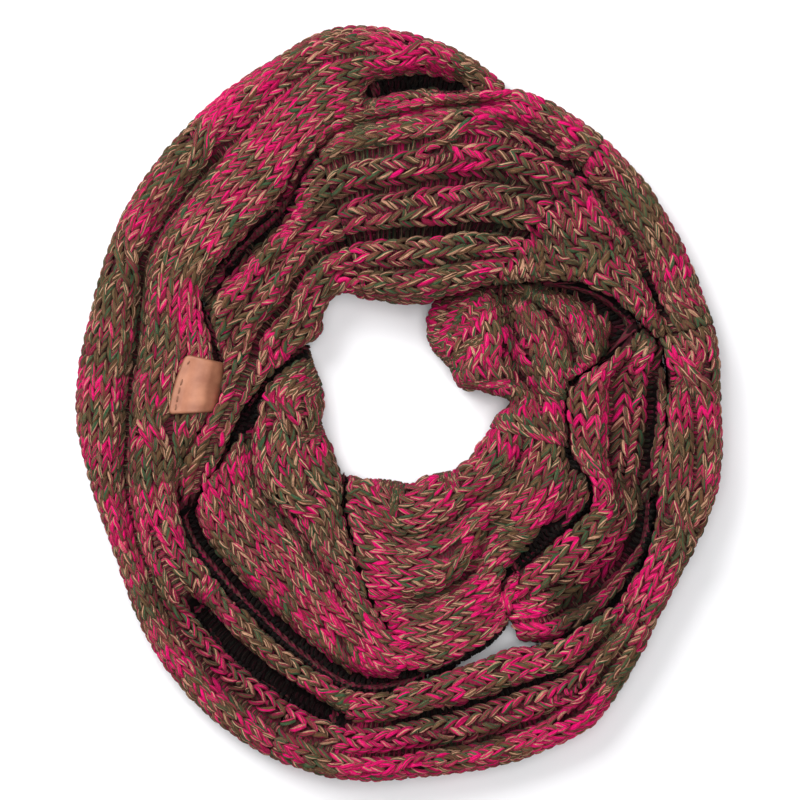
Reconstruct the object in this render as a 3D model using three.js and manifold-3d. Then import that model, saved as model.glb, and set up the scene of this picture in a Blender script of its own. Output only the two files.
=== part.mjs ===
// An infinity scarf: one chunky knitted band, closed into a ring, wound twice and laid down flat,
// with a small leather tab folded round its edge.
// Millimetres, +Z up. The winding lies on Z = 0, and its middle is near the origin.
import * as THREE from "three";
import { mergeVertices } from "three/addons/utils/BufferGeometryUtils.js";
import Module from "manifold-3d";

const wasm = await Module();
wasm.setup();

// The middle that all radii are measured from, so that the origin is the middle of the whole outline.
const MIDDLE = { x: -0.3, y: 0.6 };
// Two pieces of the band that touch stay this far apart.
const SEAM_GAP = 0.3;
// Steps of the solids: along the turn in degrees, and across the band in millimetres.
const STEP_ANGLE = 6.5;
const STEP_ACROSS = 5;

// A section's side, from the floor to where its top begins: how far it stands back from the edge, in
// millimetres, and its share of the section's height. The two bulges are the upper and lower layers.
const SIDE = [
  { back: 8, up: 0 },
  { back: 1.5, up: 0.12 },
  { back: 0, up: 0.27 },
  { back: 2.4, up: 0.43 },
  { back: 0.4, up: 0.6 },
  { back: 2.6, up: 0.82 },
];
// The top begins this far from the edge, on a band of full width, and is this share lower there.
const SHOULDER = 8;
const FULL_WIDTH = 48;
const SHOULDER_DROP = 0.04;
// The top is this share higher along its middle than at its shoulders.
const CROWN = 0.07;

// Rows of a turn: the angle, the two edges' radii and the height. Angles run counterclockwise from +X,
// and go on past 360 where the band does.
const OUTER_TURN = [
  { at: 68, inner: 160, outer: 195, high: 20 },
  { at: 75, inner: 171, outer: 206, high: 27 },
  { at: 82, inner: 173, outer: 215, high: 32 },
  { at: 90, inner: 172, outer: 222, high: 36 },
  { at: 97, inner: 171, outer: 226.5, high: 38 },
  { at: 103, inner: 168, outer: 225, high: 40 },
  { at: 110, inner: 157, outer: 218, high: 41 },
  { at: 120, inner: 137, outer: 212, high: 41 },
  { at: 135, inner: 132.5, outer: 203.5, high: 40 },
  { at: 150, inner: 134, outer: 197.5, high: 38 },
  { at: 158, inner: 121, outer: 193, high: 37 },
  { at: 167, inner: 107.5, outer: 191.5, high: 36 },
  { at: 176, inner: 107.5, outer: 192.5, high: 36 },
  { at: 185, inner: 112, outer: 192.5, high: 36 },
  { at: 196, inner: 133, outer: 190.5, high: 36 },
  { at: 210, inner: 149, outer: 193.5, high: 36 },
  { at: 225, inner: 151, outer: 208, high: 36 },
  { at: 240, inner: 157, outer: 220, high: 36 },
  { at: 250, inner: 165, outer: 225.5, high: 35 },
  { at: 262, inner: 175, outer: 228, high: 34 },
  { at: 275, inner: 167.5, outer: 224.5, high: 34 },
  { at: 285, inner: 163, outer: 225.5, high: 33 },
  { at: 294, inner: 162.5, outer: 226, high: 33 },
  { at: 301, inner: 170, outer: 225.5, high: 33 },
  { at: 310, inner: 174, outer: 214, high: 33 },
  { at: 320, inner: 176, outer: 202, high: 34 },
  { at: 330, inner: 172, outer: 197.5, high: 35 },
  { at: 345, inner: 159, outer: 197.5, high: 36 },
  { at: 360, inner: 159, outer: 192.5, high: 37 },
  { at: 372, inner: 159, outer: 193.5, high: 38 },
  { at: 380, inner: 148, outer: 192.5, high: 39 },
  { at: 390, inner: 134, outer: 194, high: 41 },
  { at: 405, inner: 101, outer: 198, high: 44 },
  { at: 418, inner: 80, outer: 200, high: 47 },
  { at: 428, inner: 68, outer: 199.5, high: 50 },
  { at: 436, inner: 62, outer: 190, high: 52 },
  { at: 450, inner: 60.5, outer: 178, high: 53 },
  { at: 465, inner: 65, outer: 169, high: 50 },
  { at: 480, inner: 75.5, outer: 142, high: 46 },
  { at: 490, inner: 71.5, outer: 138, high: 43 },
  { at: 500, inner: 63.5, outer: 137, high: 41 },
  { at: 515, inner: 70, outer: 132, high: 38 },
  { at: 525, inner: 76, outer: 118, high: 37 },
  { at: 535, inner: 85, outer: 112, high: 36 },
  { at: 546, inner: 97, outer: 117, high: 35 },
  { at: 556, inner: 108, outer: 137, high: 34 },
  { at: 563, inner: 124, outer: 146, high: 30 },
  { at: 567, inner: 136, outer: 148, high: 24 },
];
// The ribs on the right, where the band's edge is folded back on itself.
const FOLD_BACK = [
  { at: 297, inner: 123, outer: 160, high: 20 },
  { at: 305, inner: 122, outer: 176, high: 27 },
  { at: 315, inner: 123, outer: 182, high: 30 },
  { at: 328, inner: 129, outer: 181, high: 32 },
  { at: 334, inner: 130, outer: 178, high: 33 },
  { at: 344, inner: 108, outer: 168, high: 34 },
  { at: 360, inner: 100, outer: 167, high: 35 },
  { at: 367, inner: 105, outer: 167, high: 36 },
  { at: 372, inner: 128, outer: 167, high: 35 },
  { at: 378, inner: 148, outer: 166, high: 26 },
];
const INNER_PANEL = [
  { at: 148, inner: 66, outer: 100, high: 20 },
  { at: 156, inner: 57, outer: 110, high: 25 },
  { at: 168, inner: 48.5, outer: 117, high: 28 },
  { at: 182, inner: 46.5, outer: 124, high: 29 },
  { at: 196, inner: 47.5, outer: 136, high: 29 },
  { at: 206, inner: 48, outer: 150, high: 30 },
  { at: 215, inner: 49.5, outer: 156, high: 31 },
  { at: 225, inner: 53, outer: 158, high: 31 },
  { at: 235, inner: 60, outer: 160, high: 31 },
  { at: 244, inner: 76, outer: 164, high: 31 },
  { at: 252, inner: 89, outer: 171, high: 30 },
  { at: 258, inner: 106, outer: 176, high: 29 },
  { at: 266, inner: 130, outer: 177, high: 28 },
  { at: 272, inner: 138, outer: 172, high: 25 },
  { at: 276, inner: 146, outer: 167, high: 20 },
];
const INNER_TURN = [
  { at: 232, inner: 58, outer: 96, high: 17 },
  { at: 240, inner: 53, outer: 120, high: 23 },
  { at: 250, inner: 49, outer: 140, high: 25 },
  { at: 262, inner: 47, outer: 159, high: 26 },
  { at: 272, inner: 48, outer: 167, high: 26 },
  { at: 279, inner: 49, outer: 166, high: 26 },
  { at: 285, inner: 49, outer: 161, high: 27 },
  { at: 291, inner: 47.5, outer: 156.5, high: 27 },
  { at: 296, inner: 48, outer: 150, high: 27 },
  { at: 304, inner: 50.5, outer: 134, high: 27 },
  { at: 320, inner: 56, outer: 132, high: 27 },
  { at: 333, inner: 55, outer: 134, high: 28 },
  { at: 342, inner: 57, outer: 122, high: 29 },
  { at: 352, inner: 61, outer: 108, high: 30 },
  { at: 360, inner: 68, outer: 104, high: 31 },
  { at: 366, inner: 56, outer: 116, high: 33 },
  { at: 372, inner: 39, outer: 148, high: 34 },
  { at: 380, inner: 36.5, outer: 153, high: 35 },
  { at: 390, inner: 37, outer: 141, high: 35 },
  { at: 402, inner: 36, outer: 118, high: 33 },
  { at: 414, inner: 38, outer: 94, high: 30 },
  { at: 424, inner: 43, outer: 80, high: 26 },
  { at: 431, inner: 54, outer: 76, high: 20 },
];

// Rows of a turn's folds: ridges (up above 0) and troughs (up below 0) that run along the band. Each has
// its place across the band, from 0 at the inner edge to 1 at the outer one, at its start, middle and end.
const OUTER_FOLDS = [
  { name: "curl_pocket", from: 73, to: 101, start: 0.52, mid: 0.4, end: 0.3, up: -20, wide: 14 },
  { name: "rim_rib", from: 74, to: 130, start: 0.84, mid: 0.84, end: 0.86, up: 3, wide: 9 },
  { name: "edge_rib", from: 104, to: 262, start: 0.14, mid: 0.15, end: 0.18, up: 3, wide: 9 },
  { name: "long_valley", from: 108, to: 262, start: 0.66, mid: 0.63, end: 0.74, up: -8, wide: 10 },
  { name: "dark_slot", from: 212, to: 264, start: 0.42, mid: 0.4, end: 0.42, up: -18, wide: 8 },
  { name: "first_valley", from: 256, to: 330, start: 0.36, mid: 0.37, end: 0.34, up: -9, wide: 8 },
  { name: "second_valley", from: 258, to: 318, start: 0.7, mid: 0.72, end: 0.66, up: -8, wide: 8 },
  { name: "right_valley", from: 322, to: 372, start: 0.6, mid: 0.6, end: 0.5, up: -4, wide: 9 },
  { name: "shoulder_valley", from: 366, to: 440, start: 0.2, mid: 0.72, end: 0.82, up: -12, wide: 9 },
  { name: "turned_trough", from: 376, to: 404, start: 0.3, mid: 0.47, end: 0.44, up: -6, wide: 7 },
  { name: "crossing_edge", from: 384, to: 548, start: 0.2, mid: 0.15, end: 0.15, up: -5, wide: 7 },
  { name: "crossing_trough", from: 388, to: 548, start: 0.34, mid: 0.34, end: 0.38, up: -10, wide: 9 },
  { name: "crossing_purl", from: 394, to: 532, start: 0.6, mid: 0.57, end: 0.64, up: -7, wide: 10 },
  { name: "crossing_step", from: 400, to: 520, start: 0.76, mid: 0.77, end: 0.8, up: -5, wide: 8 },
  { name: "edge_pocket", from: 500, to: 546, start: 0.96, mid: 0.93, end: 0.96, up: -14, wide: 10 },
  { name: "tucked_side", from: 462, to: 512, start: 0.97, mid: 0.96, end: 0.96, up: -18, wide: 20 },
];
const FOLD_BACK_FOLDS = [
  { name: "inner_trough", from: 328, to: 376, start: 0.38, mid: 0.4, end: 0.42, up: -9, wide: 9 },
  { name: "outer_trough", from: 300, to: 376, start: 0.66, mid: 0.72, end: 0.78, up: -10, wide: 8 },
  { name: "deep_recess", from: 302, to: 346, start: 0.62, mid: 0.6, end: 0.55, up: -16, wide: 18 },
  { name: "eye_recess", from: 336, to: 370, start: 0.5, mid: 0.55, end: 0.58, up: -9, wide: 11 },
];
const PANEL_FOLDS = [
  { name: "hole_side_rib", from: 150, to: 270, start: 0.16, mid: 0.2, end: 0.3, up: 3, wide: 10 },
  { name: "middle_valley", from: 158, to: 268, start: 0.36, mid: 0.42, end: 0.5, up: -5, wide: 9 },
  { name: "outer_valley", from: 196, to: 262, start: 0.64, mid: 0.66, end: 0.68, up: -4, wide: 10 },
  { name: "turn_gap", from: 202, to: 282, start: 0.98, mid: 0.95, end: 0.92, up: -26, wide: 9 },
];
const INNER_FOLDS = [
  { name: "hidden_fold", from: 262, to: 318, start: 0.62, mid: 0.58, end: 0.5, up: -7, wide: 10 },
  { name: "hole_side_valley", from: 250, to: 352, start: 0.28, mid: 0.3, end: 0.34, up: -5, wide: 9 },
  { name: "outer_valley", from: 286, to: 350, start: 0.86, mid: 0.8, end: 0.74, up: -5, wide: 8 },
  { name: "lobe_valley", from: 356, to: 418, start: 0.45, mid: 0.4, end: 0.55, up: -10, wide: 11 },
  { name: "roll_line", from: 366, to: 412, start: 0.66, mid: 0.64, end: 0.82, up: -9, wide: 7 },
  { name: "dark_pocket", from: 364, to: 404, start: 0.9, mid: 0.87, end: 0.95, up: -24, wide: 18 },
];

// Rows of raised cable crossings: place along and across the band, and size along, across and up.
const OUTER_CABLES = [
  { at: 127, across: 0.82, long: 44, wide: 26, up: 3 },
  { at: 155, across: 0.84, long: 36, wide: 22, up: 3 },
  { at: 192, across: 0.34, long: 36, wide: 22, up: 3 },
  { at: 272, across: 0.8, long: 46, wide: 20, up: 3 },
  { at: 300, across: 0.66, long: 46, wide: 20, up: 3 },
  { at: 340, across: 0.62, long: 40, wide: 22, up: 3 },
  { at: 412, across: 0.82, long: 44, wide: 30, up: 3 },
  { at: 440, across: 0.78, long: 40, wide: 30, up: 3 },
];
const PANEL_CABLES = [
  { at: 186, across: 0.24, long: 36, wide: 24, up: 3 },
  { at: 226, across: 0.3, long: 40, wide: 24, up: 3 },
  { at: 256, across: 0.5, long: 40, wide: 26, up: 3 },
];
const INNER_CABLES = [
  { at: 288, across: 0.5, long: 36, wide: 26, up: 3 },
  { at: 384, across: 0.36, long: 34, wide: 22, up: 3 },
];

const TURNS = {
  outer: { rows: OUTER_TURN, folds: OUTER_FOLDS, cables: OUTER_CABLES },
  foldBack: { rows: FOLD_BACK, folds: FOLD_BACK_FOLDS, cables: [] },
  panel: { rows: INNER_PANEL, folds: PANEL_FOLDS, cables: PANEL_CABLES },
  inner: { rows: INNER_TURN, folds: INNER_FOLDS, cables: INNER_CABLES },
};

// Rows of the stretches that show, one solid each. A stretch is cut back under each one in `under`.
const STRETCHES = [
  { name: "top_over", turn: "outer", from: 412, to: 468, under: [] },
  { name: "upper_right", turn: "outer", from: 374, to: 412, under: [] },
  { name: "outer_right", turn: "outer", from: 318, to: 374, under: [] },
  { name: "outer_left", turn: "outer", from: 68, to: 250, under: ["top_over"] },
  { name: "outer_bottom", turn: "outer", from: 250, to: 318, under: [] },
  {
    name: "right_ribs",
    turn: "foldBack",
    from: 297,
    to: 378,
    under: ["outer_bottom", "outer_right", "upper_right"],
  },
  {
    name: "inner_left_ribs",
    turn: "outer",
    from: 468,
    to: 567,
    under: ["outer_left", "leather_tab"],
  },
  {
    name: "inner_left_panel",
    turn: "panel",
    from: 148,
    to: 276,
    under: ["inner_left_ribs", "outer_left", "outer_bottom"],
  },
  {
    name: "inner_bottom",
    turn: "inner",
    from: 232,
    to: 345,
    under: ["inner_left_panel", "right_ribs", "outer_bottom"],
  },
  {
    name: "inner_right",
    turn: "inner",
    from: 345,
    to: 431,
    under: ["right_ribs", "outer_right", "upper_right", "top_over"],
  },
];

// The leather tab, in the outer turn's own measures: its length along the turn in degrees, and where
// its sewn edge lies on the band's top at its two ends.
const TAB = { from: 167.3, to: 183.2, sewnStart: 130, sewnEnd: 138, thick: 1.6, clear: 0.6 };
// The tab's way down the side, its radius there, and its steps along the turn and across the top.
const TAB_SIDE = SIDE.slice(4);
const SIDE_RADIUS = 110;
const TAB_STEPS = 6;
const TAB_PARTS = 4;

const KNIT_COLOUR = 0x8a3848;
const LEATHER_COLOUR = 0xb9805f;

const radians = THREE.MathUtils.degToRad;

// A smooth curve through the rows' values of one column, with no overshoot between far rows.
function readColumn(rows, column, angle) {
  const last = rows.length - 1;
  const held = THREE.MathUtils.clamp(angle, rows[0].at, rows[last].at);
  let i = 0;
  while (i < last - 1 && held > rows[i + 1].at) i += 1;
  const slope = (k) => {
    const before = rows[Math.max(k - 1, 0)];
    const after = rows[Math.min(k + 1, last)];
    return (after[column] - before[column]) / (after.at - before.at);
  };
  const span = rows[i + 1].at - rows[i].at;
  const t = (held - rows[i].at) / span;
  const low = rows[i][column];
  const high = rows[i + 1][column];
  const smooth = t * t * (3 - 2 * t);
  const leave = t * (1 - t) * (1 - t) * span * slope(i);
  const arrive = t * t * (t - 1) * span * slope(i + 1);
  return low + (high - low) * smooth + leave + arrive;
}

// 1 in the middle and 0 from one unit out, with round shoulders.
function bump(distance) {
  const d = Math.min(Math.abs(distance), 1);
  return (1 - d * d) ** 2;
}

// How far a fold has grown at this angle: it fades in and out over a fifth of its length.
function foldStrength(fold, angle) {
  const t = (angle - fold.from) / (fold.to - fold.from);
  if (t <= 0 || t >= 1) return 0;
  const fade = THREE.MathUtils.clamp(Math.min(t, 1 - t) * 5, 0, 1);
  return fade * fade * (3 - 2 * fade);
}

// Where a fold lies across the band at this angle, on a curve through its start, middle and end.
function foldPlace(fold, angle) {
  const t = (angle - fold.from) / (fold.to - fold.from);
  return fold.start * (1 - t) * (1 - 2 * t) + fold.mid * 4 * t * (1 - t) + fold.end * t * (2 * t - 1);
}

// The section of a turn at an angle: its edges, height and how far its sides reach in.
function sectionAt(turn, angle) {
  const inner = readColumn(turn.rows, "inner", angle);
  const outer = readColumn(turn.rows, "outer", angle);
  const high = readColumn(turn.rows, "high", angle);
  const squeeze = Math.min(1, (outer - inner) / FULL_WIDTH);
  return { turn, angle, inner, outer, high, squeeze };
}

// The height of a section's top at a place across the band, from 0 to 1.
function topHeight(section, across) {
  const { turn, angle, inner, outer, high } = section;
  const wide = outer - inner;
  const radius = inner + across * wide;
  const side = 2 * across - 1;
  let z = high * (1 - SHOULDER_DROP + CROWN * (1 - side * side));
  for (const fold of turn.folds) {
    const strength = foldStrength(fold, angle);
    const away = ((across - foldPlace(fold, angle)) * wide) / fold.wide;
    z += fold.up * strength * bump(away) * section.squeeze;
  }
  for (const cable of turn.cables) {
    const along = (radians(angle - cable.at) * radius * 2) / cable.long;
    const beside = ((across - cable.across) * wide * 2) / cable.wide;
    z += cable.up * bump(along) * bump(beside);
  }
  return z;
}

// A section's outline as radius and height, counterclockwise from the outer edge's foot. A grown
// section is larger all round, and cuts the room that its neighbours leave for it.
function outline(section, columns, grow) {
  const { inner, outer, high, squeeze } = section;
  const reach = SHOULDER * squeeze;
  const foot = grow > 0 ? -1 : 0;
  const points = [];
  const addSide = (edge, inward, rows) => {
    for (const { back, up } of rows) {
      const r = edge + inward * (back * squeeze - grow);
      points.push([r, up > 0 ? up * high : foot]);
    }
  };
  addSide(outer, -1, SIDE);
  for (let i = 0; i <= columns; i += 1) {
    const r = outer - reach - ((outer - inner - 2 * reach) * i) / columns;
    const across = (r - inner) / (outer - inner);
    points.push([r, topHeight(section, across) + grow]);
  }
  addSide(inner, 1, [...SIDE].reverse());
  return points;
}

function placed(angle, radius, height) {
  const a = radians(angle);
  return [MIDDLE.x + radius * Math.cos(a), MIDDLE.y + radius * Math.sin(a), height];
}

// A closed solid from rings that all have the same number of points, with both ends closed flat.
function loft(rings) {
  const count = rings[0].length;
  const positions = rings.flat(2);
  const index = [];
  for (let i = 0; i < rings.length - 1; i += 1) {
    for (let j = 0; j < count; j += 1) {
      const a = i * count + j;
      const b = i * count + ((j + 1) % count);
      index.push(a, a + count, b, b, a + count, b + count);
    }
  }
  const closeEnd = (ring, flip) => {
    const flat = ring.map(([x, y, z]) => new THREE.Vector2(Math.hypot(x - MIDDLE.x, y - MIDDLE.y), z));
    return THREE.ShapeUtils.triangulateShape(flat, []).map(([a, b, c]) => (flip ? [a, c, b] : [a, b, c]));
  };
  for (const face of closeEnd(rings[0], false)) index.push(...face);
  const start = (rings.length - 1) * count;
  for (const face of closeEnd(rings[rings.length - 1], true)) index.push(...face.map((k) => k + start));
  const geometry = new THREE.BufferGeometry();
  geometry.setAttribute("position", new THREE.Float32BufferAttribute(positions, 3));
  geometry.setIndex(index);
  return geometry;
}

function toSolid(geometry) {
  const merged = mergeVertices(geometry, 1e-4);
  return new wasm.Manifold(
    new wasm.Mesh({
      numProp: 3,
      vertProperties: merged.attributes.position.array,
      triVerts: new Uint32Array(merged.index.array),
    }),
  );
}

function toGeometry(solid) {
  const mesh = solid.getMesh();
  const geometry = new THREE.BufferGeometry();
  geometry.setAttribute("position", new THREE.Float32BufferAttribute(mesh.vertProperties, 3));
  geometry.setIndex(new THREE.Uint32BufferAttribute(mesh.triVerts, 1));
  return geometry;
}

// One stretch of a turn as a solid. With grow above 0 it is larger all round.
function stretchSolid(stretch, grow) {
  const turn = TURNS[stretch.turn];
  const middle = sectionAt(turn, (stretch.from + stretch.to) / 2);
  const columns = Math.round((middle.outer - middle.inner - 2 * SHOULDER) / STEP_ACROSS);
  const steps = Math.ceil((stretch.to - stretch.from) / STEP_ANGLE);
  // Half a seam's gap in degrees, taken off each end. A grown stretch has a ring more past each end.
  const trim = (SEAM_GAP / 2 / middle.inner) * THREE.MathUtils.RAD2DEG;
  const angles = [];
  for (let i = 0; i <= steps; i += 1) {
    angles.push(THREE.MathUtils.lerp(stretch.from + trim, stretch.to - trim, i / steps));
  }
  if (grow > 0) {
    angles.unshift(stretch.from - trim);
    angles.push(stretch.to + trim);
  }
  const rings = angles.map((angle) =>
    outline(sectionAt(turn, angle), columns, grow).map(([r, z]) => placed(angle, r, z)),
  );
  return toSolid(loft(rings));
}

function largestBody(solid) {
  const bodies = solid.decompose();
  return bodies.reduce((best, body) => (body.volume() > best.volume() ? body : best));
}

// The tab follows the band's own outline over its inner edge: down the side's upper layer and along
// the top to the sewn edge. With grow above 0 it is larger all round.
function tabSolid(grow) {
  const rings = [];
  const spread = (grow / SIDE_RADIUS) * THREE.MathUtils.RAD2DEG;
  for (let i = 0; i <= TAB_STEPS; i += 1) {
    const t = i / TAB_STEPS;
    const angle = THREE.MathUtils.lerp(TAB.from - spread, TAB.to + spread, t);
    const section = sectionAt(TURNS.outer, angle);
    const sewn = THREE.MathUtils.lerp(TAB.sewnStart, TAB.sewnEnd, t) + grow;
    const path = TAB_SIDE.map(({ back, up }) => [section.inner + back, up * section.high - grow]);
    const start = section.inner + SHOULDER;
    for (let k = 0; k <= TAB_PARTS; k += 1) {
      const r = THREE.MathUtils.lerp(start, sewn, k / TAB_PARTS);
      path.push([r, topHeight(section, (r - section.inner) / (section.outer - section.inner))]);
    }
    const offset = (distance) =>
      path.map(([r, z], k) => {
        const [r0, z0] = path[Math.max(k - 1, 0)];
        const [r1, z1] = path[Math.min(k + 1, path.length - 1)];
        const length = Math.hypot(r1 - r0, z1 - z0);
        return [r - ((z1 - z0) / length) * distance, z + ((r1 - r0) / length) * distance];
      });
    const under = offset(TAB.clear - grow);
    const over = offset(TAB.clear + TAB.thick + grow);
    rings.push([...under, ...over.reverse()].map(([r, z]) => placed(angle, r, z)));
  }
  return toSolid(loft(rings));
}

function knitMesh(name, solid) {
  const material = new THREE.MeshStandardMaterial({ color: KNIT_COLOUR, roughness: 0.95, metalness: 0 });
  const mesh = new THREE.Mesh(toGeometry(solid), material);
  mesh.name = name;
  return mesh;
}

function leatherMesh(name, solid) {
  const material = new THREE.MeshStandardMaterial({ color: LEATHER_COLOUR, roughness: 0.6, metalness: 0 });
  const mesh = new THREE.Mesh(toGeometry(solid), material);
  mesh.name = name;
  return mesh;
}

function buildScarf() {
  const scarf = new THREE.Group();
  const room = new Map(STRETCHES.map((stretch) => [stretch.name, stretchSolid(stretch, SEAM_GAP)]));
  room.set("leather_tab", tabSolid(SEAM_GAP));
  for (const stretch of STRETCHES) {
    let solid = stretchSolid(stretch, 0);
    for (const upper of stretch.under) solid = solid.subtract(room.get(upper));
    scarf.add(knitMesh(stretch.name, largestBody(solid)));
  }
  scarf.add(leatherMesh("leather_tab", tabSolid(0)));
  return scarf;
}

export default buildScarf();
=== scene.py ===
"""The looks of an infinity scarf: chunky marled knit, wound twice and laid flat, with a leather tab.

Every stretch of the band is a thin tube of cloth on its solid's form, and carries its own stitches.
Tables are in millimetres and degrees. The creases are narrower and deeper than in the solids, which
round them. Blender units are metres.
"""

import math
from collections import namedtuple

import bpy
import numpy as np
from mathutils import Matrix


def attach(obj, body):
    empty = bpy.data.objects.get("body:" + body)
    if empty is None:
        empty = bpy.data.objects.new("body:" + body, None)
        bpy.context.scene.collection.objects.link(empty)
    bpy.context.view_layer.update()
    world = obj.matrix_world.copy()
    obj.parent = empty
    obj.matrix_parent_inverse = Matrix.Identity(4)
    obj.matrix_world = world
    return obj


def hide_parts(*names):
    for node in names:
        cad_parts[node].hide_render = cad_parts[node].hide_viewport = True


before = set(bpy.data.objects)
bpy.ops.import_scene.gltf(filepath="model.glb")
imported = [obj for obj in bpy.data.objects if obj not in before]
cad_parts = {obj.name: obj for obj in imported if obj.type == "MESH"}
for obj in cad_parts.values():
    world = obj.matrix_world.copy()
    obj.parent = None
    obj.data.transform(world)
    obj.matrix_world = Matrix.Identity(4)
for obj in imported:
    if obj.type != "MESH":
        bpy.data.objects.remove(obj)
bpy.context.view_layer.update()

MM = 0.001
MIDDLE_X = -0.3
MIDDLE_Y = 0.6

Turn = namedtuple("Turn", "at inner outer high")
Fold = namedtuple("Fold", "name start end place_start place_mid place_end up wide")
Cable = namedtuple("Cable", "at across long wide up")
SideRow = namedtuple("SideRow", "back up")

# A section's side, from the floor to where its top begins.
SIDE = [
    SideRow(8, 0),
    SideRow(1.5, 0.12),
    SideRow(0, 0.27),
    SideRow(2.4, 0.43),
    SideRow(0.4, 0.6),
    SideRow(2.6, 0.82),
]
SHOULDER = 8
FULL_WIDTH = 48
SHOULDER_DROP = 0.04
CROWN = 0.07
# Points across the top, points from one row of a side to the next, and how far along the top their
# joining curves look.
TOP_COUNT = 70
SIDE_PARTS = 5
TOP_BLEND = 0.08
# Nothing in the top lies lower than this share of the section's height.
LOWEST_TOP = 0.22

# Rows of a turn: the angle, the two edges' radii and the height.
OUTER_TURN = [
    Turn(68, 160, 195, 20),
    Turn(75, 171, 206, 27),
    Turn(82, 173, 215, 32),
    Turn(90, 172, 222, 36),
    Turn(97, 171, 226.5, 38),
    Turn(103, 168, 225, 40),
    Turn(110, 157, 218, 41),
    Turn(120, 137, 212, 41),
    Turn(135, 132.5, 203.5, 40),
    Turn(150, 134, 197.5, 38),
    Turn(158, 121, 193, 37),
    Turn(167, 107.5, 191.5, 36),
    Turn(176, 107.5, 192.5, 36),
    Turn(185, 112, 192.5, 36),
    Turn(196, 133, 190.5, 36),
    Turn(210, 149, 193.5, 36),
    Turn(225, 151, 208, 36),
    Turn(240, 157, 220, 36),
    Turn(250, 165, 225.5, 35),
    Turn(262, 175, 228, 34),
    Turn(275, 167.5, 224.5, 34),
    Turn(285, 163, 225.5, 33),
    Turn(294, 162.5, 226, 33),
    Turn(301, 170, 225.5, 33),
    Turn(310, 174, 214, 33),
    Turn(320, 176, 202, 34),
    Turn(330, 172, 197.5, 35),
    Turn(345, 159, 197.5, 36),
    Turn(360, 159, 192.5, 37),
    Turn(372, 159, 193.5, 38),
    Turn(380, 148, 192.5, 39),
    Turn(390, 134, 194, 41),
    Turn(405, 101, 198, 44),
    Turn(418, 80, 200, 47),
    Turn(428, 68, 199.5, 50),
    Turn(436, 62, 190, 52),
    Turn(450, 60.5, 178, 53),
    Turn(465, 65, 169, 50),
    Turn(480, 75.5, 142, 46),
    Turn(490, 71.5, 138, 43),
    Turn(500, 63.5, 137, 41),
    Turn(515, 70, 132, 38),
    Turn(525, 76, 118, 37),
    Turn(535, 85, 112, 36),
    Turn(546, 97, 117, 35),
    Turn(556, 108, 137, 34),
    Turn(563, 124, 146, 30),
    Turn(567, 136, 148, 24),
]
FOLD_BACK = [
    Turn(297, 123, 160, 20),
    Turn(305, 122, 176, 27),
    Turn(315, 123, 182, 30),
    Turn(328, 129, 181, 32),
    Turn(334, 130, 178, 33),
    Turn(344, 108, 168, 34),
    Turn(360, 100, 167, 35),
    Turn(367, 105, 167, 36),
    Turn(372, 128, 167, 35),
    Turn(378, 148, 166, 26),
]
INNER_PANEL = [
    Turn(148, 66, 100, 20),
    Turn(156, 57, 110, 25),
    Turn(168, 48.5, 117, 28),
    Turn(182, 46.5, 124, 29),
    Turn(196, 47.5, 136, 29),
    Turn(206, 48, 150, 30),
    Turn(215, 49.5, 156, 31),
    Turn(225, 53, 158, 31),
    Turn(235, 60, 160, 31),
    Turn(244, 76, 164, 31),
    Turn(252, 89, 171, 30),
    Turn(258, 106, 176, 29),
    Turn(266, 130, 177, 28),
    Turn(272, 138, 172, 25),
    Turn(276, 146, 167, 20),
]
INNER_TURN = [
    Turn(232, 58, 96, 17),
    Turn(240, 53, 120, 23),
    Turn(250, 49, 140, 25),
    Turn(262, 47, 159, 26),
    Turn(272, 48, 167, 26),
    Turn(279, 49, 166, 26),
    Turn(285, 49, 161, 27),
    Turn(291, 47.5, 156.5, 27),
    Turn(296, 48, 150, 27),
    Turn(304, 50.5, 134, 27),
    Turn(320, 56, 132, 27),
    Turn(333, 55, 134, 28),
    Turn(342, 57, 122, 29),
    Turn(352, 61, 108, 30),
    Turn(360, 68, 104, 31),
    Turn(366, 56, 116, 33),
    Turn(372, 39, 148, 34),
    Turn(380, 36.5, 153, 35),
    Turn(390, 37, 141, 35),
    Turn(402, 36, 118, 33),
    Turn(414, 38, 94, 30),
    Turn(424, 43, 80, 26),
    Turn(431, 54, 76, 20),
]

# Rows of a turn's folds: ridges and troughs that run along the band, and their places across it.
OUTER_FOLDS = [
    Fold("curl_pocket", 75, 98, 0.54, 0.45, 0.22, -24, 12),
    Fold("rim_rib", 74, 130, 0.84, 0.84, 0.86, 3, 9),
    Fold("edge_rib", 104, 262, 0.14, 0.15, 0.18, 3, 9),
    Fold("long_valley", 108, 262, 0.66, 0.63, 0.74, -8, 10),
    Fold("dark_slot", 220, 264, 0.39, 0.35, 0.37, -26, 12),
    Fold("first_valley", 256, 330, 0.36, 0.37, 0.34, -9, 8),
    Fold("second_valley", 258, 318, 0.7, 0.72, 0.66, -8, 8),
    Fold("right_valley", 322, 372, 0.6, 0.6, 0.36, -4, 9),
    Fold("shoulder_valley", 366, 440, 0.2, 0.72, 0.82, -12, 9),
    Fold("turned_trough", 376, 404, 0.3, 0.47, 0.44, -6, 7),
    Fold("crossing_edge", 384, 548, 0.2, 0.15, 0.15, -5, 7),
    Fold("crossing_trough", 388, 548, 0.34, 0.34, 0.38, -10, 9),
    Fold("crossing_purl", 394, 532, 0.6, 0.57, 0.64, -7, 10),
    Fold("crossing_step", 400, 520, 0.76, 0.77, 0.8, -5, 8),
    Fold("edge_pocket", 500, 546, 0.96, 0.93, 0.96, -14, 10),
    Fold("shadow_edge", 424, 474, 0.95, 0.97, 0.97, -16, 12),
    Fold("tucked_side", 462, 512, 0.97, 0.96, 0.96, -18, 20),
]
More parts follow.
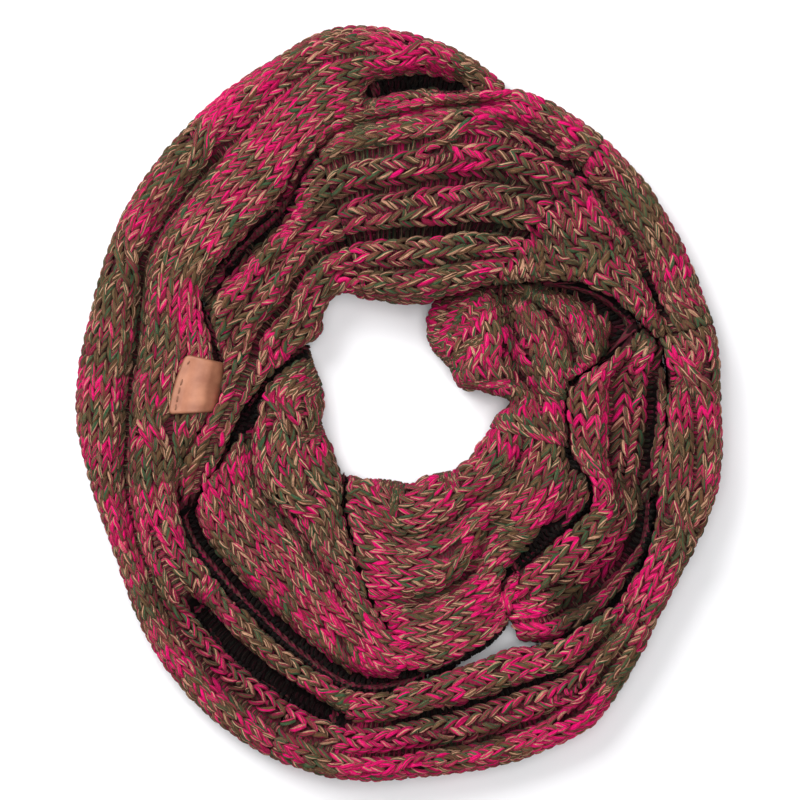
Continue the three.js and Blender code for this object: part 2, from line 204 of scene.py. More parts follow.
FOLD_BACK_FOLDS = [
    Fold("inner_trough", 328, 376, 0.38, 0.4, 0.42, -9, 9),
    Fold("outer_trough", 300, 376, 0.66, 0.72, 0.78, -10, 8),
    Fold("deep_recess", 302, 346, 0.62, 0.6, 0.55, -16, 18),
    Fold("eye_recess", 336, 370, 0.5, 0.55, 0.58, -9, 11),
]
PANEL_FOLDS = [
    Fold("hole_side_rib", 150, 270, 0.16, 0.2, 0.3, 3, 10),
    Fold("middle_valley", 158, 268, 0.58, 0.46, 0.3, -7, 8),
    Fold("outer_valley", 196, 262, 0.64, 0.66, 0.68, -4, 10),
    Fold("turn_gap", 192, 282, 0.97, 0.9, 0.92, -26, 14),
]
INNER_FOLDS = [
    Fold("hidden_fold", 262, 318, 0.62, 0.58, 0.5, -7, 10),
    Fold("hole_side_valley", 250, 352, 0.28, 0.3, 0.34, -5, 9),
    Fold("outer_valley", 286, 350, 0.86, 0.8, 0.74, -5, 8),
    Fold("lobe_valley", 352, 418, 0.58, 0.36, 1.05, -12, 11),
    Fold("roll_line", 366, 412, 0.66, 0.64, 0.82, -9, 7),
    Fold("dark_pocket", 364, 404, 0.9, 0.87, 0.95, -24, 18),
]

# Rows of raised cable crossings: place along and across the band, and size along, across and up.
OUTER_CABLES = [
    Cable(88, 0.72, 40, 24, 3),
    Cable(127, 0.76, 40, 26, 3),
    Cable(153, 0.74, 36, 26, 3),
    Cable(186, 0.42, 38, 26, 3),
    Cable(272, 0.8, 46, 20, 3),
    Cable(300, 0.66, 46, 20, 3),
    Cable(336, 0.72, 38, 26, 3),
    Cable(365.5, 0.55, 34, 26, 3),
    Cable(412, 0.82, 44, 30, 3),
    Cable(440, 0.78, 40, 30, 3),
]
PANEL_CABLES = [
    Cable(186, 0.24, 36, 24, 3),
    Cable(226, 0.3, 40, 24, 3),
    Cable(256, 0.5, 40, 26, 3),
]
INNER_CABLES = [
    Cable(288, 0.5, 36, 26, 3),
    Cable(384, 0.36, 34, 22, 3),
]
TURNS = {
    "outer": (OUTER_TURN, OUTER_FOLDS, OUTER_CABLES),
    "fold_back": (FOLD_BACK, FOLD_BACK_FOLDS, []),
    "panel": (INNER_PANEL, PANEL_FOLDS, PANEL_CABLES),
    "inner": (INNER_TURN, INNER_FOLDS, INNER_CABLES),
}

# Rows of the stretches: one tube of cloth each, cut back under each one in `under`.
Stretch = namedtuple("Stretch", "name turn start end under")
STRETCHES = [
    Stretch("top_over", "outer", 412, 468, []),
    Stretch("upper_right", "outer", 374, 412, []),
    Stretch("outer_right", "outer", 318, 374, []),
    Stretch("outer_left", "outer", 71.5, 250, ["top_over"]),
    Stretch("outer_bottom", "outer", 250, 318, []),
    Stretch("right_ribs", "fold_back", 297, 378, ["outer_bottom", "outer_right", "upper_right"]),
    Stretch("inner_left_ribs", "outer", 468, 567, ["outer_left"]),
    Stretch("inner_left_panel", "panel", 148, 276, ["inner_left_ribs", "outer_left", "outer_bottom"]),
    Stretch("inner_bottom", "inner", 232, 345, ["inner_left_panel", "right_ribs", "outer_bottom"]),
    Stretch("inner_right", "inner", 345, 431, ["right_ribs", "outer_right", "upper_right", "top_over"]),
]
BY_NAME = {stretch.name: stretch for stretch in STRETCHES}

# Lanes of stitches in a part of a stretch: the valleys between groups of wales, from the outer edge to
# the inner one, each with the width of its purl gutter, the wales between them, and the pitch outside.
Lanes = namedtuple("Lanes", "start end guides counts outer_pitch inner_pitch")
LANES = {
    "outer_left": [
        Lanes(68, 207, [("long_valley", 2.5)], [], 6.9, 6.9),
        Lanes(207, 250, [("long_valley", 2.5), ("dark_slot", 5)], [2], 6.9, 10),
    ],
    "outer_bottom": [Lanes(250, 318, [("second_valley", 2.5), ("first_valley", 3)], [2], 8, 10)],
    "outer_right": [Lanes(318, 374, [("right_valley", 2)], [], 7, 7)],
    "upper_right": [Lanes(374, 412, [("shoulder_valley", 4)], [], 7, 10)],
    "top_over": [
        Lanes(
            412,
            468,
            [("crossing_step", 6), ("crossing_purl", 2), ("crossing_trough", 9), ("crossing_edge", 2)],
            [2, 2, 2],
            7,
            9,
        ),
    ],
    "inner_left_ribs": [Lanes(468, 567, [("crossing_trough", 6)], [], 10, 10)],
    "right_ribs": [Lanes(297, 378, [("outer_trough", 3), ("inner_trough", 3)], [2], 9.5, 9.5)],
    "inner_left_panel": [Lanes(148, 276, [("middle_valley", 1)], [], 6.7, 6.7)],
    "inner_bottom": [Lanes(232, 345, [("hole_side_valley", 1)], [], 6.9, 6.9)],
    "inner_right": [Lanes(345, 431, [("lobe_valley", 2)], [], 6.9, 6.9)],
}

# Fineness of the cloth, and how far its two faces lie under the solid's form.
GRID_ANGLE = 0.6
GRID_ACROSS = 2.0
CLOTH_SINK = 2.2
CLOTH_THICK = 1.4
CLOTH_COARSE = 2
CLOTH_ROWS = 2
FLOOR_COLUMNS = 10
FLOOR_HIGH = 0.5
# Where a stretch goes in under another one, its top dips by so much, over so wide a strip. TUCK_DEEP is also
# the depth of painted shadow there.
TUCK_DEEP = 13
TUCK_WIDE = 10
# So far from the edge of the one above, its colour still carries painted shadow.
SHADOW_WIDE = 16
# The troughs are so much deeper than in the solids, which round them.
TROUGH_DEEPER = 1.35
# Deeper than this in a valley only purl bars show.
PURL_DEPTH = 10
# Stitches: rows along the band, how near to the floor and to the outline's ends they go, and how far
# past one's middle ring its room is tested.
ROW_PITCH = 7.0
FLOOR_CLEAR = 2.4
EDGE_CLEAR = 1.0
TIP_REACH = 2.0
MIDDLE_RING = 3
# Painted shade in the yarn's and the backing's colour, darker down in the valleys: how far the sides of
# one are looked for, in columns of the grid, the depth in millimetres where it is darkest, and its share of
# the light there.
VALLEY_REACH = 8
VALLEY_DARKEST = 13
VALLEY_SHADE = 0.04
VALLEY_CURVE = 1.4
# The backing's share of the light where it stands upright.
STEEP_SHADE = 0.4
# Gaps between a stretch and its neighbours, at its sides and at its ends.
SEAM_GAP = 0.4
END_GAP = 0.15
# Stretches whose inner wall stands against another stretch, and gets painted shade so far up.
WALLED = ["outer_left", "outer_bottom", "outer_right", "upper_right"]
WALL_DARK = 0.75
# Stretches whose outer rim lies in the gap beside the outer turn: how high and how far in it gets painted
# shade.
RIMMED = ["inner_left_panel", "inner_bottom"]
RIM_DARK = 0.95
RIM_REACH = 45
DARK_SHARP = 5
# Half the thickness of a leg of the stocking stitch, of a rib's, and of a purl bar, and its drop.
LEG_THICK = 1.55
RIB_THICK = 1.75
BAR_THICK = 1.15
BAR_DROP = 1.4
# Bars that fill what the legs leave bare: how far a leg covers, their pitch across, and how far up they
# must face.
COVER_REACH = 3.0
FILL_PITCH = 5.0
FILL_FACING = -0.1
FILL_OVERLAP = 1.2
FILL_THICK = 1.1
FILL_UP = -0.2
# Purl bars' share of the light: painted shade in their colour.
BAR_SHADE = 0.8


def read_column(rows, column, angles):
    """A smooth curve through the rows' values of one column."""
    at = np.array([row.at for row in rows], float)
    values = np.array([getattr(row, column) for row in rows], float)
    last = len(at) - 1
    before = np.maximum(np.arange(last + 1) - 1, 0)
    after = np.minimum(np.arange(last + 1) + 1, last)
    slope = (values[after] - values[before]) / (at[after] - at[before])
    held = np.clip(angles, at[0], at[-1])
    i = np.clip(np.searchsorted(at, held, side="left") - 1, 0, last - 1)
    span = at[i + 1] - at[i]
    t = (held - at[i]) / span
    smooth = t * t * (3 - 2 * t)
    leave = t * (1 - t) ** 2 * span * slope[i]
    arrive = t * t * (t - 1) * span * slope[i + 1]
    return values[i] + (values[i + 1] - values[i]) * smooth + leave + arrive


def bump(distance):
    return (1 - np.minimum(np.abs(distance), 1) ** 2) ** 2


def fold_strength(fold, angles):
    t = (angles - fold.start) / (fold.end - fold.start)
    fade = np.clip(np.minimum(t, 1 - t) * 5, 0, 1)
    return fade * fade * (3 - 2 * fade)


def fold_place(fold, angles, reach=0.0):
    """Where a fold lies across the band. With reach above 0 its curve goes on past its ends."""
    t = np.clip((angles - fold.start) / (fold.end - fold.start), -reach, 1 + reach)
    first = fold.place_start * (1 - t) * (1 - 2 * t)
    return first + fold.place_mid * 4 * t * (1 - t) + fold.place_end * t * (2 * t - 1)


def section_of(turn, angles):
    rows = TURNS[turn][0]
    inner = read_column(rows, "inner", angles)
    outer = read_column(rows, "outer", angles)
    high = read_column(rows, "high", angles)
    squeeze = np.minimum(1, (outer - inner) / FULL_WIDTH)
    return inner, outer, high, squeeze


def top_height(turn, angles, across):
    """Height of the top for a column of angles (n) and places across (n, m)."""
    folds, cables = TURNS[turn][1:]
    inner, outer, high, squeeze = (v[:, None] for v in section_of(turn, angles))
    at = angles[:, None]
    wide = outer - inner
    radius = inner + across * wide
    z = high * (1 - SHOULDER_DROP + CROWN * (1 - (2 * across - 1) ** 2))
    for fold in folds:
        away = (across - fold_place(fold, at)) * wide / fold.wide
        up = fold.up * (TROUGH_DEEPER if fold.up < 0 else 1)
        z = z + up * fold_strength(fold, at) * bump(away) * squeeze
    z = np.maximum(z, high * LOWEST_TOP)
    for cable in cables:
        along = np.radians(at - cable.at) * radius * 2 / cable.long
        beside = (across - cable.across) * wide * 2 / cable.wide
        z = z + cable.up * bump(along) * bump(beside)
    return z


def smooth_side(points, parts):
    """A smooth curve through points (n, m, 2), with so many parts between neighbours."""
    padded = np.concatenate([points[:, :1], points, points[:, -1:]], axis=1)
    pieces = []
    for k in range(points.shape[1] - 1):
        a, b, c, d = (padded[:, k + j] for j in range(4))
        for step in range(parts):
            t = step / parts
            cubic = -a + 3 * b - 3 * c + d
            square = 2 * a - 5 * b + 4 * c - d
            pieces.append(0.5 * (2 * b + (c - a) * t + square * t * t + cubic * t**3))
    return np.stack(pieces, axis=1)


def side_back(up, squeeze):
    """How far a side stands back from its edge, at a share of the height."""
    ups = [row.up for row in SIDE] + [0.96, 1.02]
    backs = [row.back for row in SIDE] + [SHOULDER, 60]
    return np.interp(up, ups, backs) * squeeze


def neighbour_limit(name, angles, z):
    """Edge radii (inner, outer) that a stretch holds at heights z (n, m), or none where it isn't."""
    stretch = BY_NAME[name]
    turned = stretch.start + (angles - stretch.start) % 360
    inside = turned <= stretch.end
    turned = np.clip(turned, stretch.start, stretch.end)
    inner, outer, high, squeeze = (v[:, None] for v in section_of(stretch.turn, turned))
    back = side_back(z / high, squeeze)
    return inside, inner + back, outer - back, high


def unit(vectors):
    """The vectors at length 1."""
    return vectors / np.maximum(np.linalg.norm(vectors, axis=-1, keepdims=True), 1e-9)


def placed(grid, angles):
    """Points in the object's frame from rows of (radius, height), one row for each angle."""
    a = np.radians(angles)[:, None]
    x = MIDDLE_X + grid[:, :, 0] * np.cos(a)
    y = MIDDLE_Y + grid[:, :, 0] * np.sin(a)
    return np.stack([x, y, grid[:, :, 1]], axis=2)


class Surface:
    """A stretch's outside as a grid: rows along the turn, columns evenly spaced across its outline."""

    def __init__(self, stretch):
        self.stretch = stretch
        middle = np.array([(stretch.start + stretch.end) / 2.0])
        trim = math.degrees(END_GAP / section_of(stretch.turn, middle)[0][0])
        first = stretch.start + trim
        last = stretch.end - trim
        self.angles = np.linspace(first, last, int((last - first) / GRID_ANGLE) + 2)
        points, self.top_start = self.raw_outline()
        points = self.cut_back(points)
        steps = np.linalg.norm(np.diff(points, axis=1), axis=2)
        self.along_raw = np.concatenate([np.zeros((len(points), 1)), np.cumsum(steps, axis=1)], axis=1)
        self.length = self.along_raw[:, -1]
        self.columns = int(self.length.max() / GRID_ACROSS) + 2
        grid = np.zeros((len(points), self.columns, 2))
        for i, row in enumerate(points):
            wanted = np.linspace(0, self.length[i], self.columns)
            grid[i, :, 0] = np.interp(wanted, self.along_raw[i], row[:, 0])
            grid[i, :, 1] = np.interp(wanted, self.along_raw[i], row[:, 1])
        self.section = grid
        self.points = placed(grid, self.angles)
        along = np.gradient(self.points, axis=0)
        across = np.gradient(self.points, axis=1)
        self.normals = unit(np.cross(along, across))
        self.depth = self.valley_depth(grid)

    def valley_depth(self, grid):
        """Depth below the higher ground on both sides, plus depth added only for painted shade at seams,
        walls and rims.
        """
        z = grid[:, :, 1]
        beside = []
        for way in (1, -1):
            best = z.copy()
            for step in range(1, VALLEY_REACH + 1):
                moved = np.roll(z, way * step, axis=1)
                if way > 0:
                    moved[:, :step] = z[:, :step]
                else:
                    moved[:, -step:] = z[:, -step:]
                best = np.maximum(best, moved)
            beside.append(best)
        depth = np.minimum(beside[0], beside[1]) - z
        # Made-up depth for painted shadow beside the stretches above, and for painted shade low on walls and
        # rims.
        for i in range(len(z)):
            wanted = np.linspace(0, self.length[i], self.columns)
            depth[i] += TUCK_DEEP * np.interp(wanted, self.along_raw[i], self.tucked[i])
        share_up = z / section_of(self.stretch.turn, self.angles)[2][:, None]
        if self.stretch.name in WALLED:
            low_down = np.clip((WALL_DARK - share_up) * DARK_SHARP, 0, 1)
            low_down[:, : self.columns // 2] = 0
            depth += VALLEY_DARKEST * low_down
        if self.stretch.name in RIMMED:
            from_foot = np.linspace(0, 1, self.columns)[None, :] * self.length[:, None]
            low_down = np.clip((RIM_DARK - share_up) * DARK_SHARP, 0, 1)
            depth += VALLEY_DARKEST * low_down * (from_foot < RIM_REACH)
        return depth

    def raw_outline(self):
        turn = self.stretch.turn
        inner, outer, high, squeeze = section_of(turn, self.angles)
        reach = SHOULDER * squeeze
        backs = np.array([row.back for row in SIDE])
        ups = np.array([row.up for row in SIDE])
        rise = ups[None, :] * high[:, None]
        outer_side = np.stack([outer[:, None] - backs * squeeze[:, None], rise], axis=2)
        inner_side = np.stack([inner[:, None] + backs * squeeze[:, None], rise], axis=2)
        share = np.linspace(0, 1, TOP_COUNT)[None, :]
        r = (outer - reach)[:, None] - (outer - inner - 2 * reach)[:, None] * share
        across = (r - inner[:, None]) / (outer - inner)[:, None]
        top = np.stack([r, top_height(turn, self.angles, across)], axis=2)
        far = int(TOP_COUNT * TOP_BLEND)
        outer_corner = [outer_side, top[:, :1], top[:, far : far + 1]]
        inner_corner = [top[:, -1 - far : -far], top[:, -1:], inner_side[:, ::-1]]
        down = smooth_side(np.concatenate(outer_corner, axis=1), SIDE_PARTS)
        up = smooth_side(np.concatenate(inner_corner, axis=1), SIDE_PARTS)
        side_count = len(SIDE) * SIDE_PARTS
        parts = [down[:, :side_count], top, up[:, SIDE_PARTS + 1 :], inner_side[:, :1]]
        return np.concatenate(parts, axis=1), side_count

    def cut_back(self, points):
        """Keeps the outline clear of the stretches that lie on it or against it, and notes the painted
        shadow beside them.
        """
        points = points.copy()
        self.tucked = np.zeros(points.shape[:2])
        own_high = section_of(self.stretch.turn, self.angles)[2][:, None]
        for name in self.stretch.under:
            inside, low, high_side, high = neighbour_limit(name, self.angles, points[:, :, 1])
            r = points[:, :, 0]
            if self.stretch.name == "outer_left":
                # It meets the crossing from outside, and neither dips nor gets painted shadow there.
                moved = np.maximum(r, high_side + SEAM_GAP)
                points[:, :, 0] = np.where(inside[:, None], moved, r)
                continue
            moved = np.minimum(r, low - SEAM_GAP)
            room = low - r
            near = np.clip(1 - room / TUCK_WIDE, 0, 1)
            upper = np.clip(points[:, :, 1] / own_high * 3 - 1.7, 0, 1)
            dip = TUCK_DEEP * near * near * (3 - 2 * near) * upper
            points[:, :, 0] = np.where(inside[:, None], moved, r)
            points[:, :, 1] -= np.where(inside[:, None], dip, 0)
            # How far each point lies in painted shadow beside the one above.
            beside = np.clip(1 - room / SHADOW_WIDE, 0, 1)
            below = np.clip((high - points[:, :, 1]) / TUCK_DEEP, 0, 1)
            self.tucked = np.maximum(self.tucked, np.where(inside[:, None], beside * below, 0))
        return points

    def along_at(self, across):
        """Distance across the outline, from the outer foot, of a place across the top (n)."""
        inner, outer, _, squeeze = section_of(self.stretch.turn, self.angles)
        reach = SHOULDER * squeeze
        share = ((outer - reach) - (inner + across * (outer - inner))) / (outer - inner - 2 * reach)
        index = self.top_start + np.clip(share, 0, 1) * (TOP_COUNT - 1)
        low = np.floor(index).astype(int)
        part = index - low
        rows = np.arange(len(self.angles))
        return self.along_raw[rows, low] * (1 - part) + self.along_raw[rows, low + 1] * part

    def sample(self, grid, angle, along):
        """Reads a grid (rows, columns, 3) at angles and distances across the outline."""
        i = np.interp(angle, self.angles, np.arange(len(self.angles)))
        length = np.interp(angle, self.angles, self.length)
        j = np.clip(along / length, 0, 1) * (self.columns - 1)
        i0 = np.minimum(i.astype(int), len(self.angles) - 2)
        j0 = np.minimum(j.astype(int), self.columns - 2)
        fi = (i - i0)[..., None]
        fj = (j - j0)[..., None]
        near = grid[i0, j0] * (1 - fj) + grid[i0, j0 + 1] * fj
        far = grid[i0 + 1, j0] * (1 - fj) + grid[i0 + 1, j0 + 1] * fj
        return near * (1 - fi) + far * fi

    def ground(self, angle, along):
        """Points of the surface at angles and distances across the outline, and its normals there."""
        return self.sample(self.points, angle, along), unit(self.sample(self.normals, angle, along))

    def travel(self, across):
        """How far along the surface each of its angles is, on a line so far across the outline."""
        line = self.sample(self.points, self.angles, across)
        steps = np.linalg.norm(np.diff(line, axis=0), axis=1)
        return np.concatenate([[0], np.cumsum(steps)])


def valley_shade(depth):
    """The share of the light that reaches a depth."""
    return 1 - (1 - VALLEY_SHADE) * np.clip(depth / VALLEY_DARKEST, 0, 1) ** VALLEY_CURVE


def lattice_noise(x, y, seed):
    """Smooth noise from 0 to 1."""
    table = np.random.default_rng(seed).random((64, 64))
    xi = np.floor(x).astype(int)
    yi = np.floor(y).astype(int)
    fx = x - xi
    fy = y - yi
    fx = fx * fx * (3 - 2 * fx)
    fy = fy * fy * (3 - 2 * fy)
    a = table[xi % 64, yi % 64]
    b = table[(xi + 1) % 64, yi % 64]
    c = table[xi % 64, (yi + 1) % 64]
    d = table[(xi + 1) % 64, (yi + 1) % 64]
    return (a * (1 - fx) + b * fx) * (1 - fy) + (c * (1 - fx) + d * fx) * fy


def new_mesh(name, points, faces, sizes, uv, uv_name, tone=None):
    """A mesh object from points in millimetres, flat face corners and their counts."""
    mesh = bpy.data.meshes.new(name)
    mesh.vertices.add(len(points))
    mesh.vertices.foreach_set("co", (points * MM).astype(np.float32).ravel())
    mesh.loops.add(len(faces))
    mesh.loops.foreach_set("vertex_index", faces.astype(np.int32))
    mesh.polygons.add(len(sizes))
    starts = np.concatenate([[0], np.cumsum(sizes)[:-1]])
    mesh.polygons.foreach_set("loop_start", starts.astype(np.int32))
    mesh.polygons.foreach_set("loop_total", sizes.astype(np.int32))
    mesh.polygons.foreach_set("use_smooth", np.ones(len(sizes), bool))
    layer = mesh.uv_layers.new(name=uv_name)
    layer.data.foreach_set("uv", uv.astype(np.float32).ravel())
    if tone is not None:
        attribute = mesh.attributes.new("tone", "FLOAT_COLOR", "POINT")
        attribute.data.foreach_set("color", tone.astype(np.float32).ravel())
    mesh.update(calc_edges=True)
    thing = bpy.data.objects.new(name, mesh)
    bpy.context.scene.collection.objects.link(thing)
    return thing


def grid_faces(rows, columns, wrap, offset=0, flip=False):
    """Corner indices of the quads of a grid of points."""
    i = np.arange(rows - 1)[:, None]
    j = np.arange(columns if wrap else columns - 1)[None, :]
    k = (j + 1) % columns
    quad = np.stack([i * columns + j, (i + 1) * columns + j, (i + 1) * columns + k, i * columns + k], axis=2)
    if flip:
        quad = quad[:, :, ::-1]
    return (quad + offset).reshape(-1, 4)


def cloth_tube(surface):
    """The knit's backing: a tube with an outer and an inner face, joined at both ends."""
    name = surface.stretch.name
    picked = np.unique(np.append(np.arange(0, len(surface.angles), CLOTH_ROWS), len(surface.angles) - 1))
    section = surface.section[picked]
    way = unit(np.gradient(section, axis=1))
    outward = np.stack([way[:, :, 1], -way[:, :, 0]], axis=2)

    def face(sink, lowest):
        """The outline this far inside the surface, closed by a floor at its lowest height."""
        top = section - outward * sink
        top[:, :, 1] = np.maximum(top[:, :, 1], lowest)
        feet = np.linspace(top[:, -1], top[:, 0], FLOOR_COLUMNS + 2, axis=1)[:, 1:-1]
        feet[:, :, 1] = lowest
        return np.concatenate([top, feet], axis=1)

    outer = face(CLOTH_SINK, FLOOR_HIGH)
    inner = face(CLOTH_SINK + CLOTH_THICK, FLOOR_HIGH + CLOTH_THICK)
    inner = inner[::CLOTH_COARSE, ::CLOTH_COARSE]
    angles = surface.angles[picked]

    outside = placed(outer, angles)
    inside = placed(inner, angles[::CLOTH_COARSE])
    rows, columns = outside.shape[:2]
    rows_in, columns_in = inside.shape[:2]
    quads = grid_faces(rows, columns, True)
    quads_in = grid_faces(rows_in, columns_in, True, rows * columns, flip=True)
    ends = []
    for row, row_in, flip in ((0, 0, True), (rows - 1, rows_in - 1, False)):
        hub = row * columns
        hub_in = rows * columns + row_in * columns_in
        for j in range(columns_in):
            rim = range(j * CLOTH_COARSE, min((j + 1) * CLOTH_COARSE, columns) + 1)
            corners = [hub + k % columns for k in rim]
            corners += [hub_in + (j + 1) % columns_in, hub_in + j]
            ends.append(corners if flip else corners[::-1])
    quads = np.concatenate([quads, quads_in])
    faces = np.concatenate([quads.ravel()] + ends)
    sizes = np.concatenate([np.full(len(quads), 4), [len(end) for end in ends]])
    points = np.concatenate([outside.reshape(-1, 3), inside.reshape(-1, 3)])
    across = np.arange(columns) * GRID_ACROSS * MM
    radius = section[:, :, 0].mean()
    along = np.radians(angles) * radius * MM
    uv_out = np.stack(np.broadcast_arrays(across[None, :], along[:, None]), axis=2).reshape(-1, 2)
    across_in = np.arange(columns_in) * GRID_ACROSS * CLOTH_COARSE * MM
    along_in = along[::CLOTH_COARSE]
    uv_in = np.stack(np.broadcast_arrays(across_in[None, :], along_in[:, None]), axis=2).reshape(-1, 2)
    uv = np.concatenate([uv_out, uv_in])[faces]
    # Painted shade in the backing's colour: darker in the valleys and where it stands upright.
    facing = STEEP_SHADE + (1 - STEEP_SHADE) * np.clip(surface.normals[picked, :, 2], 0, 1)
    valley = valley_shade(surface.depth[picked]) * facing
    valley = np.concatenate([valley, np.ones((rows, FLOOR_COLUMNS))], axis=1)
    shades = np.concatenate([valley.ravel(), np.ones(rows_in * columns_in)])
    tone = np.stack([shades, shades, shades, np.ones(len(shades))], axis=1)
    thing = new_mesh(name + "_cloth", points, faces, sizes, uv, "knit", tone)
    lengths = np.linalg.norm(np.diff(outside, axis=0), axis=2).mean() * (rows - 1)
    widths = np.linalg.norm(np.diff(outside, axis=1), axis=2).mean() * columns
    return thing, (widths * MM, lengths * MM)


# A stitch's leg from its point to its far end: place along the rows, place across half a wale, height
# and thickness. A bar is a purl's crosswise loop, from one side of its gutter to the other.
Ring = namedtuple("Ring", "along across up thick")
LEG_RINGS = [
    Ring(1.6, 0.04, -1.5, 0.4),
    Ring(0.2, 0.16, -0.4, 0.9),
    Ring(-2.2, 0.38, 0.2, 1.0),
    Ring(-4.6, 0.62, 0.1, 1.0),
    Ring(-6.9, 0.82, -0.8, 0.8),
    Ring(-8.5, 0.92, -1.9, 0.35),
]
BAR_RINGS = [
    Ring(0.6, -1.15, -2.6, 0.45),
    Ring(0.1, -0.72, -1.4, 0.9),
    Ring(-0.4, -0.25, -0.75, 1.0),
    Ring(-0.4, 0.25, -0.75, 1.0),
    Ring(0.1, 0.72, -1.4, 0.9),
    Ring(0.6, 1.15, -2.6, 0.45),
]
SIDES = 6
# How much stitches vary: place along, swing and sway across, length, height and thickness. The last two
# are a filling bar's place along and across.
Varied = namedtuple("Varied", "at swing sway long up thick bar_at bar_across")
VARIED = Varied(0.3, 0.1, 0.09, 0.07, 0.3, 0.08, 0.2, 0.06)
# How far a cable's lanes are raised and sunk at its middle, and how much narrower they are there.
CABLE_OVER = 2.8
CABLE_UNDER = -1.4
CABLE_NARROW = 0.15
# Where the yarn runs pinker: millimetres along for each degree, and the sizes of bands and patches.
DYE_ALONG = 3.2
BAND_LONG = 9.0
BAND_WIDE = 50.0
PATCH_LONG = 40.0
PATCH_WIDE = 28.0


def within(s, length):
    """True for the legs that stay clear of both ends of the outline."""
    return (s.min(axis=1) > EDGE_CLEAR) & (s.max(axis=1) < length.min(axis=1) - EDGE_CLEAR)


class Stitches:
    """Collects the legs of one stretch as rings of points, and joins them into one mesh."""

    def __init__(self, surface, seed):
        self.surface = surface
        self.random = np.random.default_rng(seed)
        self.blocks = []
        self.covered = np.zeros(surface.points.shape[:2], bool)

    def add(self, lane_s, lane_w, lift, rings, side, radius, start, end, pitch, shade=1.0):
        """One column of legs along a lane: its place and width at each angle of the surface."""
        surface = self.surface
        angles = surface.angles
        travel = surface.travel(lane_s)
        first = np.interp(start, angles, travel)
        last = np.interp(end, angles, travel)
        if last - first < pitch:
            return
        count = max(1, round((last - first) / pitch))
        at = first + (np.arange(count) + 0.85) * (last - first) / count
        at = at + self.random.normal(0, VARIED.at, count)
        ring = np.array(rings)
        swing = self.random.normal(1, VARIED.swing, (count, 1))
        sway = self.random.normal(0, VARIED.sway, (count, 1))
        longer = self.random.normal(1, VARIED.long, (count, 1))
        along = at[:, None] + ring[None, :, 0] * pitch / ROW_PITCH * longer
        angle = np.interp(along, travel, angles)
        width = np.interp(angle, angles, lane_w)
        lane = np.interp(angle, angles, lane_s)
        raised = np.interp(angle, angles, lift)
        s = lane + side * (ring[None, :, 1] * swing + sway) * width / 2
        up = ring[None, :, 2] + raised + self.random.normal(0, VARIED.up, (count, 1))
        length = np.interp(angle, angles, surface.length)
        point, normal = surface.ground(angle, s)
        centre = point + normal * up[..., None]
        thick = radius * ring[None, :, 3] * self.random.normal(1, VARIED.thick, (count, 1))
        keep = within(s, length)
        keep &= centre[:, :, 2].min(axis=1) > FLOOR_CLEAR
        keep &= self.clear(centre + normal * TIP_REACH)
        depth = surface.sample(surface.depth[..., None], angle, s)[:, MIDDLE_RING, 0]
        if rings is LEG_RINGS:
            keep &= depth < PURL_DEPTH
        if not keep.any():
            return
        self.cover(angle[keep], s[keep], length[keep], width[keep])
        # The legs' colour carries painted shade from the valley's depth.
        self.collect(keep, centre, normal, thick, angle, s, valley_shade(depth) * shade)

    def collect(self, keep, centre, normal, thick, angle, s, shade):
        """Stores the legs that are kept."""
        self.blocks.append(
            {
                "centre": centre[keep],
                "normal": normal[keep],
                "thick": thick[keep],
                "travel": angle[keep, MIDDLE_RING] * DYE_ALONG,
                "across": s[keep, MIDDLE_RING],
                "shade": shade[keep],
            }
        )

    def cover(self, angle, s, length, width):
        """Marks where the legs lie, so that bars can fill what is left bare."""
        surface = self.surface
        for ring in (2, 3, 4):
            i = np.interp(angle[:, ring], surface.angles, np.arange(len(surface.angles)))
            j = s[:, ring] / length[:, ring] * (surface.columns - 1)
            radius = np.hypot(*surface.points[len(surface.angles) // 2, surface.columns // 2, :2])
            down = COVER_REACH / (math.radians(GRID_ANGLE) * radius)
            side = COVER_REACH / GRID_ACROSS
            for di in np.arange(-math.ceil(down), math.ceil(down) + 1):
                for dj in np.arange(-math.ceil(side), math.ceil(side) + 1):
                    if (di / down) ** 2 + (dj / side) ** 2 > 1.2:
                        continue
                    rows = np.clip(np.round(i + di), 0, self.covered.shape[0] - 1).astype(int)
                    columns = np.clip(np.round(j + dj), 0, self.covered.shape[1] - 1).astype(int)
                    self.covered[rows, columns] = True

    def fill(self):
        """Purl bars where no leg lies: in deep folds and on steep sides."""
        surface = self.surface
        angles = surface.angles
        wide = FILL_PITCH + FILL_OVERLAP
        ring = np.array(BAR_RINGS)
        for lane in range(math.ceil(surface.length.max() / FILL_PITCH)):
            middle = (lane + 0.5) * FILL_PITCH
            travel = surface.travel(np.full(len(angles), middle))
            count = max(1, round(travel[-1] / (ROW_PITCH / 2)))
            at = (np.arange(count) + 0.5) * travel[-1] / count + self.random.normal(0, VARIED.bar_at, count)
            along = at[:, None] + ring[None, :, 0]
            angle = np.interp(along, travel, angles)
            varied = self.random.normal(0, VARIED.bar_across, (count, 1))
            s = middle + (ring[None, :, 1] + varied) * wide / 2
            length = np.interp(angle, angles, surface.length)
            i = np.interp(angle[:, MIDDLE_RING], angles, np.arange(len(angles))).round().astype(int)
            j = (s[:, MIDDLE_RING] / length[:, MIDDLE_RING] * (surface.columns - 1)).round().astype(int)
            keep = ~self.covered[i, np.clip(j, 0, surface.columns - 1)] & within(s, length)
            if not keep.any():
                continue
            angle = angle[keep]
            s = s[keep]
            point, normal = surface.ground(angle, s)
            centre = point + normal * (ring[None, :, 2] + FILL_UP)[..., None]
            good = centre[:, :, 2].min(axis=1) > FLOOR_CLEAR
            good &= normal[:, MIDDLE_RING, 2] > FILL_FACING
            good &= self.clear(centre + normal * TIP_REACH)
            if not good.any():
                continue
            # The bars' colour carries painted shade from the valley's depth.
            depth = surface.sample(surface.depth[..., None], angle, s)[:, MIDDLE_RING, 0]
            thicker = self.random.normal(1, VARIED.thick, (len(s), 1))
            thick = BAR_THICK * FILL_THICK * ring[None, :, 3] * thicker
            self.collect(good, centre, normal, thick, angle, s, valley_shade(depth) * BAR_SHADE)

